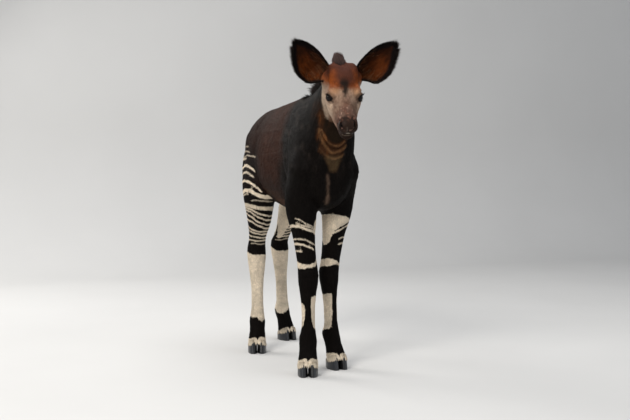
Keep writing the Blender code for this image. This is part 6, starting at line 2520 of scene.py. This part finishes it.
@dataclass
class Eyes:
    """The eyeballs with their bulging corneas, the moist lid edges and the lashes."""

    calf: Calf
    coat: Coat
    ball_radius: float = 0.0163
    pupil: tuple[float, float] = (0.0060, 0.0040)
    iris: float = 0.0088
    lid_radius: float = 0.0177
    white_tone: Colour = (0.012, 0.008, 0.007)
    iris_tone: Colour = (0.008, 0.0045, 0.0028)
    iris_edge_tone: Colour = (0.004, 0.003, 0.003)
    pupil_tone: Colour = (0.0012, 0.0012, 0.0014)
    lid_tone: Colour = (0.0065, 0.0050, 0.0048)
    lash_tone: Colour = (0.0050, 0.0040, 0.0038)
    seed: int = 61

    def build(self) -> list[bpy.types.Object]:
        """Makes the eyes.

        Returns:
            The two eyeballs, the lid edges and the lashes.
        """
        glass = EyeGlass().material()
        made = [self.ball(side, name, glass) for side, name in ((-1, "eye_right"), (1, "eye_left"))]
        edges, lashes = HairMesh(), HairMesh()
        rng = np.random.default_rng(self.seed)
        for side in (-1, 1):
            self.lid_edge(edges, side)
            self.lash_row(lashes, side, rng, np.radians(np.linspace(12, 158, 34)), 0.0105, 0.75)
            self.lash_row(lashes, side, rng, np.radians(np.linspace(205, 335, 18)), 0.0052, -0.45)
        made.append(edges.build("lid_edges", self.calf, HairFinish("lid_edge", 0.30, 0.50).material(),
                                "face_coat"))
        made.append(lashes.build("lashes", self.calf, HairFinish("lash", 0.45, 0.35).material(), "face_coat"))
        return made

    def ball(self, side: int, node: str, glass: bpy.types.Material) -> bpy.types.Object:
        """Makes one eyeball from a sphere, with the cornea raised and the iris and pupil marked.

        Args:
            side: -1 for the right one and 1 for the left.
            node: The solid that it replaces.
            glass: Its finish.

        Returns:
            The eyeball.
        """
        bpy.ops.object.select_all(action="DESELECT")
        bpy.ops.mesh.primitive_uv_sphere_add(segments=80, ring_count=56, radius=self.ball_radius)
        piece = bpy.context.object
        piece.name = piece.data.name = node.replace("eye", "eyeball")
        points, _ = arrays_of(piece.data)
        x, y, z = points.T
        reach = np.hypot(x, y)
        front = z > 0
        points = points * (1 + 0.075 * (smooth(0.0100, 0.0030, reach) * front))[:, None]
        tone = np.tile(self.white_tone, (len(points), 1))
        tone = mixed(tone, self.iris_tone, smooth(self.iris + 0.0004, self.iris - 0.0004, reach) * front)
        tone = mixed(tone, self.iris_edge_tone, np.exp(-(((reach - self.iris) / 0.0007) ** 2)) * front)
        hole = np.hypot(x / self.pupil[0], y / self.pupil[1])
        tone = mixed(tone, self.pupil_tone, smooth(1.06, 0.94, hole) * front)
        paint(piece.data, "Coat", tone)
        own = self.calf.outward(self.calf.head @ self.calf.eye_frame(side), points) + self.calf.offset
        piece.data.vertices.foreach_set("co", own.astype(np.float32).ravel())
        if side > 0:
            piece.data.flip_normals()
        piece.data.update()
        piece.data.shade_smooth()
        piece.data.materials.append(glass)
        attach(piece, "root")
        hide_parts(node)
        return piece

    def slit_line(self, angle: Array, radius: float, grow: float = 1.0) -> Array:
        """The almond line of the lids' opening, on a ball round the eye's centre.

        Args:
            angle: Where on the line, in radians.
            radius: The ball's radius.
            grow: How much larger than the opening.

        Returns:
            Places in the eye's axes.
        """
        c, s = np.cos(angle), np.sin(angle)
        x = self.calf.slit[0] / 2 * c * grow
        y = self.calf.slit[1] / 2 * s * (1 - 0.55 * np.abs(c) ** 2.2) * grow
        return np.stack([x, y, np.sqrt(np.maximum(radius**2 - x * x - y * y, 1e-6))], 1)

    def lid_edge(self, hair: HairMesh, side: int) -> None:
        """Adds the moist rounded edge that runs right round one eye's opening.

        Args:
            hair: Takes the edge's faces.
            side: -1 for the right one and 1 for the left.
        """
        count, sides = 56, 8
        angle = np.linspace(0, 2 * math.pi, count, endpoint=False)
        line = self.slit_line(angle, self.lid_radius, 1.02)
        out = unit(line)
        across = unit(np.cross(out, np.roll(line, -1, 0) - np.roll(line, 1, 0)))
        turn = np.linspace(0, 2 * math.pi, sides, endpoint=False)
        ways = out[:, None] * np.cos(turn)[None, :, None] + across[:, None] * np.sin(turn)[None, :, None]
        points = (line[:, None] + ways * 0.00125).reshape(-1, 3)
        k, j = np.meshgrid(np.arange(count), np.arange(sides), indexing="ij")
        a, b = k * sides + j, k * sides + (j + 1) % sides
        c, d = ((k + 1) % count) * sides + (j + 1) % sides, ((k + 1) % count) * sides + j
        faces = np.stack([np.stack([a, b, c], -1), np.stack([a, c, d], -1)], 2).reshape(-1, 3)
        own = self.calf.outward(self.calf.head @ self.calf.eye_frame(side), points)
        shading = normals_of(own, faces)
        loops = own.reshape(count, sides, 3)
        away = loops - loops.mean(1, keepdims=True)
        if np.einsum("ijk,ijk->", shading.reshape(count, sides, 3), away) < 0:
            faces, shading = faces[:, ::-1], -shading
        tones = np.tile(self.lid_tone, (len(own), 1))
        places = self.coat.unwrap(own, np.full(len(own), Part.HEAD.value))
        hair.add(own[None], faces, shading[None], tones[None], places[None])

    def lash_row(self, hair: HairMesh, side: int, rng: np.random.Generator, angle: Array, length: float,
                 rise: float) -> None:
        """Grows one row of lashes.

        Args:
            hair: Where they are gathered.
            side: Which eye.
            rng: The source of the scatter.
            angle: Their places round the opening.
            length: The longest.
            rise: How strongly they turn up, or below 0 down.
        """
        angle = angle + rng.normal(0, 0.02, len(angle))
        line = self.slit_line(angle, self.lid_radius + 0.0008, 1.06)
        out = unit(line)
        way = out * 0.8 + np.stack([0.35 * np.cos(angle), np.full(len(angle), rise * 0.7), 0 * angle], 1)
        way = way + rng.normal(0, 0.07, way.shape)
        bend = np.stack([0.10 * np.cos(angle), np.full(len(angle), rise * 0.5), 0 * angle], 1)
        axes = self.calf.head @ self.calf.eye_frame(side)
        turn = np.array(axes)[:3, :3]
        own = self.calf.outward(axes, line)
        reach = length * rng.uniform(0.75, 1.05, len(angle)) * (0.62 + 0.38 * np.abs(np.sin(angle)))
        tone = np.tile(self.lash_tone, (len(angle), 1))
        places = self.coat.unwrap(own, np.full(len(own), Part.HEAD.value))
        Locks().add(hair, own, way @ turn.T, bend @ turn.T, own - own.mean(0), reach,
                    np.full(len(angle), 0.00075), tone, places, 1.0, 1.2)


@dataclass(frozen=True)
class Horn:
    """The finish of the claws: slate-grey horn with growth rings, worn at the ground."""

    rings: float = 8.0

    def material(self) -> bpy.types.Material:
        """Makes the finish from the horn's own colours and its height attribute.

        Returns:
            The material of the claws.
        """
        s = Shader("horn")
        fibre = s.grain(s.place((1, 1, 0.30)), 0.0013, 2.0, 0.6)
        scuff = s.grain(s.place(), 0.0050, 3.0, 0.6)
        wave = s.node("ShaderNodeMath", {"operation": "PINGPONG"},
                      {0: s.number("Rise") * self.rings + fibre * 0.30, 1: 0.5})
        tone = s.blend(0.50, s.tone("Coat"), s.blend(fibre, (0.55, 0.55, 0.55), (1.45, 1.45, 1.45)),
                       "MULTIPLY")
        tone = s.blend(0.30, tone, s.blend(scuff, (0.45, 0.45, 0.45), (1.55, 1.55, 1.55)), "MULTIPLY")
        return s.finish(Base_Color=tone, Roughness=0.33 + (scuff - 0.5) * 0.25,
                        Normal=s.bump(wave * 1.2 + fibre * 0.4, 0.0006, 0.7), Specular_IOR_Level=0.55)


@dataclass
class Hooves:
    """The eight claws: upright walls of horn, a rounded toe, a straight inner side and a flat sole."""

    calf: Calf
    height: float = 0.036
    length: float = 0.078
    width: float = 0.0335
    gap: float = 0.0030
    slope: float = 0.20
    rows: tuple = (
        (0.0, 0.955), (0.025, 0.990), (0.07, 1.0), (0.14, 1.0), (0.22, 1.0), (0.30, 1.0), (0.38, 1.0),
        (0.46, 1.0), (0.54, 1.0), (0.62, 1.0), (0.70, 1.0), (0.78, 1.0), (0.86, 1.008), (0.93, 1.010),
        (1.0, 0.985), (1.08, 0.90),
    )

    def build(self) -> list[bpy.types.Object]:
        """Makes every claw.

        Returns:
            The eight claws.
        """
        horn = Horn().material()
        return [self.claw(leg, side, horn) for leg in LEGS for side in (-1, 1)]

    def claw(self, leg: LegLine, side: int, horn: bpy.types.Material) -> bpy.types.Object:
        """Makes one claw.

        Args:
            leg: The leg that it is on.
            side: -1 for the claw at the foot's right and 1 for the left one.
            horn: Its finish.

        Returns:
            The claw.
        """
        count = 44
        angle = np.linspace(0, 2 * math.pi, count, endpoint=False)
        c, s = np.cos(angle), np.sin(angle)
        inner = c * side < 0
        middle = (self.width + self.gap) / 2
        half = np.where(inner, middle - 0.0007, self.width / 2)
        reach = half * np.abs(c) ** np.where(inner, 0.40, 0.80) * np.sign(c)
        turn = math.radians(leg.foot_turn)
        spin = np.array(((math.cos(turn), -math.sin(turn)), (math.sin(turn), math.cos(turn))))
        lean = spin @ (0.0, math.sin(self.slope) / math.cos(self.slope))
        foot = np.array(leg.joints[-1][:2])
        points, rises = [], []
        for rise, size in self.rows:
            wide = (1 - 0.06 * rise + 0.05 * math.sin(math.pi * min(rise, 1.0))) * size
            wide = np.where(inner, size, wide)
            across = side * middle + reach * wide * (1 - 0.22 * np.maximum(0.0, -s))
            ahead = self.length / 2 * (1 - 0.15 * rise) * size * s - 0.007 + 0.005 * rise
            flat = np.stack([across, ahead], 1) @ spin.T
            top = self.height - flat @ lean
            points.append(np.column_stack([flat + foot, top * rise]))
            rises.append(np.full(count, min(rise, 1.0)))
        stack = np.concatenate(points)
        stack = np.vstack([stack, points[0].mean(0) + (0, 0, 0.0015), points[-1].mean(0) + (0, 0, 0.0015)])
        faces = self.wall_faces(count, len(self.rows))
        shape = unit(normals_of(stack, faces))
        if np.einsum("ij,ij->", shape, stack - stack.mean(0)) < 0:
            faces = faces[:, ::-1]
        node = f"{leg.part.name.lower().replace('fore_', 'foreleg_').replace('hind_', 'hindleg_')}_claw_"
        node += "left" if side > 0 else "right"
        piece = mesh_of(f"horn_{node}", stack + self.calf.offset, faces)
        rise = np.append(np.concatenate(rises), (0.0, 1.0))
        measure(piece.data, "Rise", rise)
        tone = np.tile((0.0095, 0.0108, 0.0140), (len(stack), 1))
        tone = mixed(tone, (0.060, 0.056, 0.050), 0.50 * smooth(0.14, 0.0, rise))
        # Painted shade: the inner walls, which face the other claw across the narrow gap, are made near
        # black.
        between = np.append(np.tile(inner, len(self.rows)), (False, False))
        tone = mixed(tone, (0.004, 0.004, 0.004), 0.85 * between)
        tone = tone * (1 + 0.35 * noise(stack * (1, 1, 0.3), 0.006, 95))[:, None]
        paint(piece.data, "Coat", tone)
        piece.data.materials.append(horn)
        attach(piece, "root")
        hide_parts(node)
        return piece

    @staticmethod
    def wall_faces(count: int, rows: int) -> Array:
        """The triangles of a stack of loops of points, with a point closing each end.

        Args:
            count: Points in each loop.
            rows: How many loops there are.

        Returns:
            Rows of three points.
        """
        k, j = np.meshgrid(np.arange(rows - 1), np.arange(count), indexing="ij")
        a, b = k * count + j, k * count + (j + 1) % count
        wall = np.stack([np.stack([a, b, b + count], -1), np.stack([a, b + count, a + count], -1)],
                        2).reshape(-1, 3)
        ring = np.arange(count)
        after = (ring + 1) % count
        last = (rows - 1) * count
        sole = np.stack([after, ring, np.full(count, rows * count)], 1)
        top = np.stack([last + ring, last + after, np.full(count, rows * count + 1)], 1)
        return np.concatenate([wall, sole, top])


@dataclass
class Coronets:
    """The pale hair that falls from each pastern over the top of its claws."""

    calf: Calf
    coat: Coat
    hooves: Hooves
    seed: int = 71

    def build(self) -> list[bpy.types.Object]:
        """Makes the hair of all eight claws as one piece.

        Returns:
            The piece.
        """
        hair = HairMesh()
        rng = np.random.default_rng(self.seed)
        for leg in LEGS:
            for side in (-1, 1):
                self.row(hair, leg, side, rng, 330)
        finish = HairFinish("coronet_hair").material()
        return [hair.build("coronet_hair", self.calf, finish, "white_coat")]

    def row(self, hair: HairMesh, leg: LegLine, side: int, rng: np.random.Generator, count: int) -> None:
        """Grows the hair of one claw from the rim of its horn.

        Args:
            hair: Where it is gathered.
            leg: The leg.
            side: -1 for the claw at the foot's right and 1 for the left one.
            rng: The source of the scatter.
            count: How many locks.
        """
        horn = self.hooves
        angle = rng.random(count) * 2 * math.pi
        c, s = np.cos(angle), np.sin(angle)
        turn = math.radians(leg.foot_turn)
        spin = np.array(((math.cos(turn), -math.sin(turn)), (math.sin(turn), math.cos(turn))))
        out = np.stack([c, s], 1) @ spin.T
        middle = (horn.width + horn.gap) / 2
        inner = c * side < 0
        flat = np.stack([side * middle + horn.width / 2 * 0.93 * c, horn.length / 2 * 0.84 * s - 0.003],
                        1) @ spin.T
        top = horn.height - flat @ spin @ (0.0, math.tan(horn.slope))
        above = rng.uniform(0.0015, 0.0110, count)
        root = np.column_stack([np.array(leg.joints[-1][:2]) + flat - out * above[:, None] * 0.30, top
                                + above])
        tone = np.array(self.coat.markings.tones.white) * rng.uniform(0.70, 1.0, count)[:, None]
        lean = np.where(inner, 0.02, rng.uniform(0.24, 0.46, count))
        way = np.column_stack([out * lean[:, None], np.full(count, -1.0)]) + rng.normal(0, 0.06, (count, 3))
        bend = np.column_stack([out * -0.20, np.full(count, -0.10)])
        length = (above + rng.uniform(0.0085, 0.0140, count)) * np.where(inner, 0.6, 1.0)
        places = self.coat.unwrap(root, np.full(count, leg.part.value))
        Locks((0.0, 0.4, 0.75), (0.9, 1.0, 0.65)).add(hair, root, way, bend, np.column_stack([out, 0 * c]),
                                                      length,
                                                      rng.uniform(0.0022, 0.0036, count), tone, places, 0.45,
                                                      1.12)



def main() -> None:
    """Builds the calf piece by piece, then the studio."""
    logging.basicConfig(level=logging.INFO, format="%(message)s")
    calf = Calf()
    markings = Markings(calf)
    skin = Skin(calf, markings)
    body = skin.build()
    coat = Coat(calf, markings, skin)
    made = [body] + coat.build() + LongHair(calf, skin, coat).build() + EarHair(calf, coat).build()
    hooves = Hooves(calf)
    made += Eyes(calf, coat).build() + hooves.build() + Coronets(calf, coat, hooves).build()
    for piece in made:
        LOG.info("%s: %d triangles", piece.name, len(piece.data.polygons))
    Studio(calf).build()


if __name__ == "__main__":
    main()
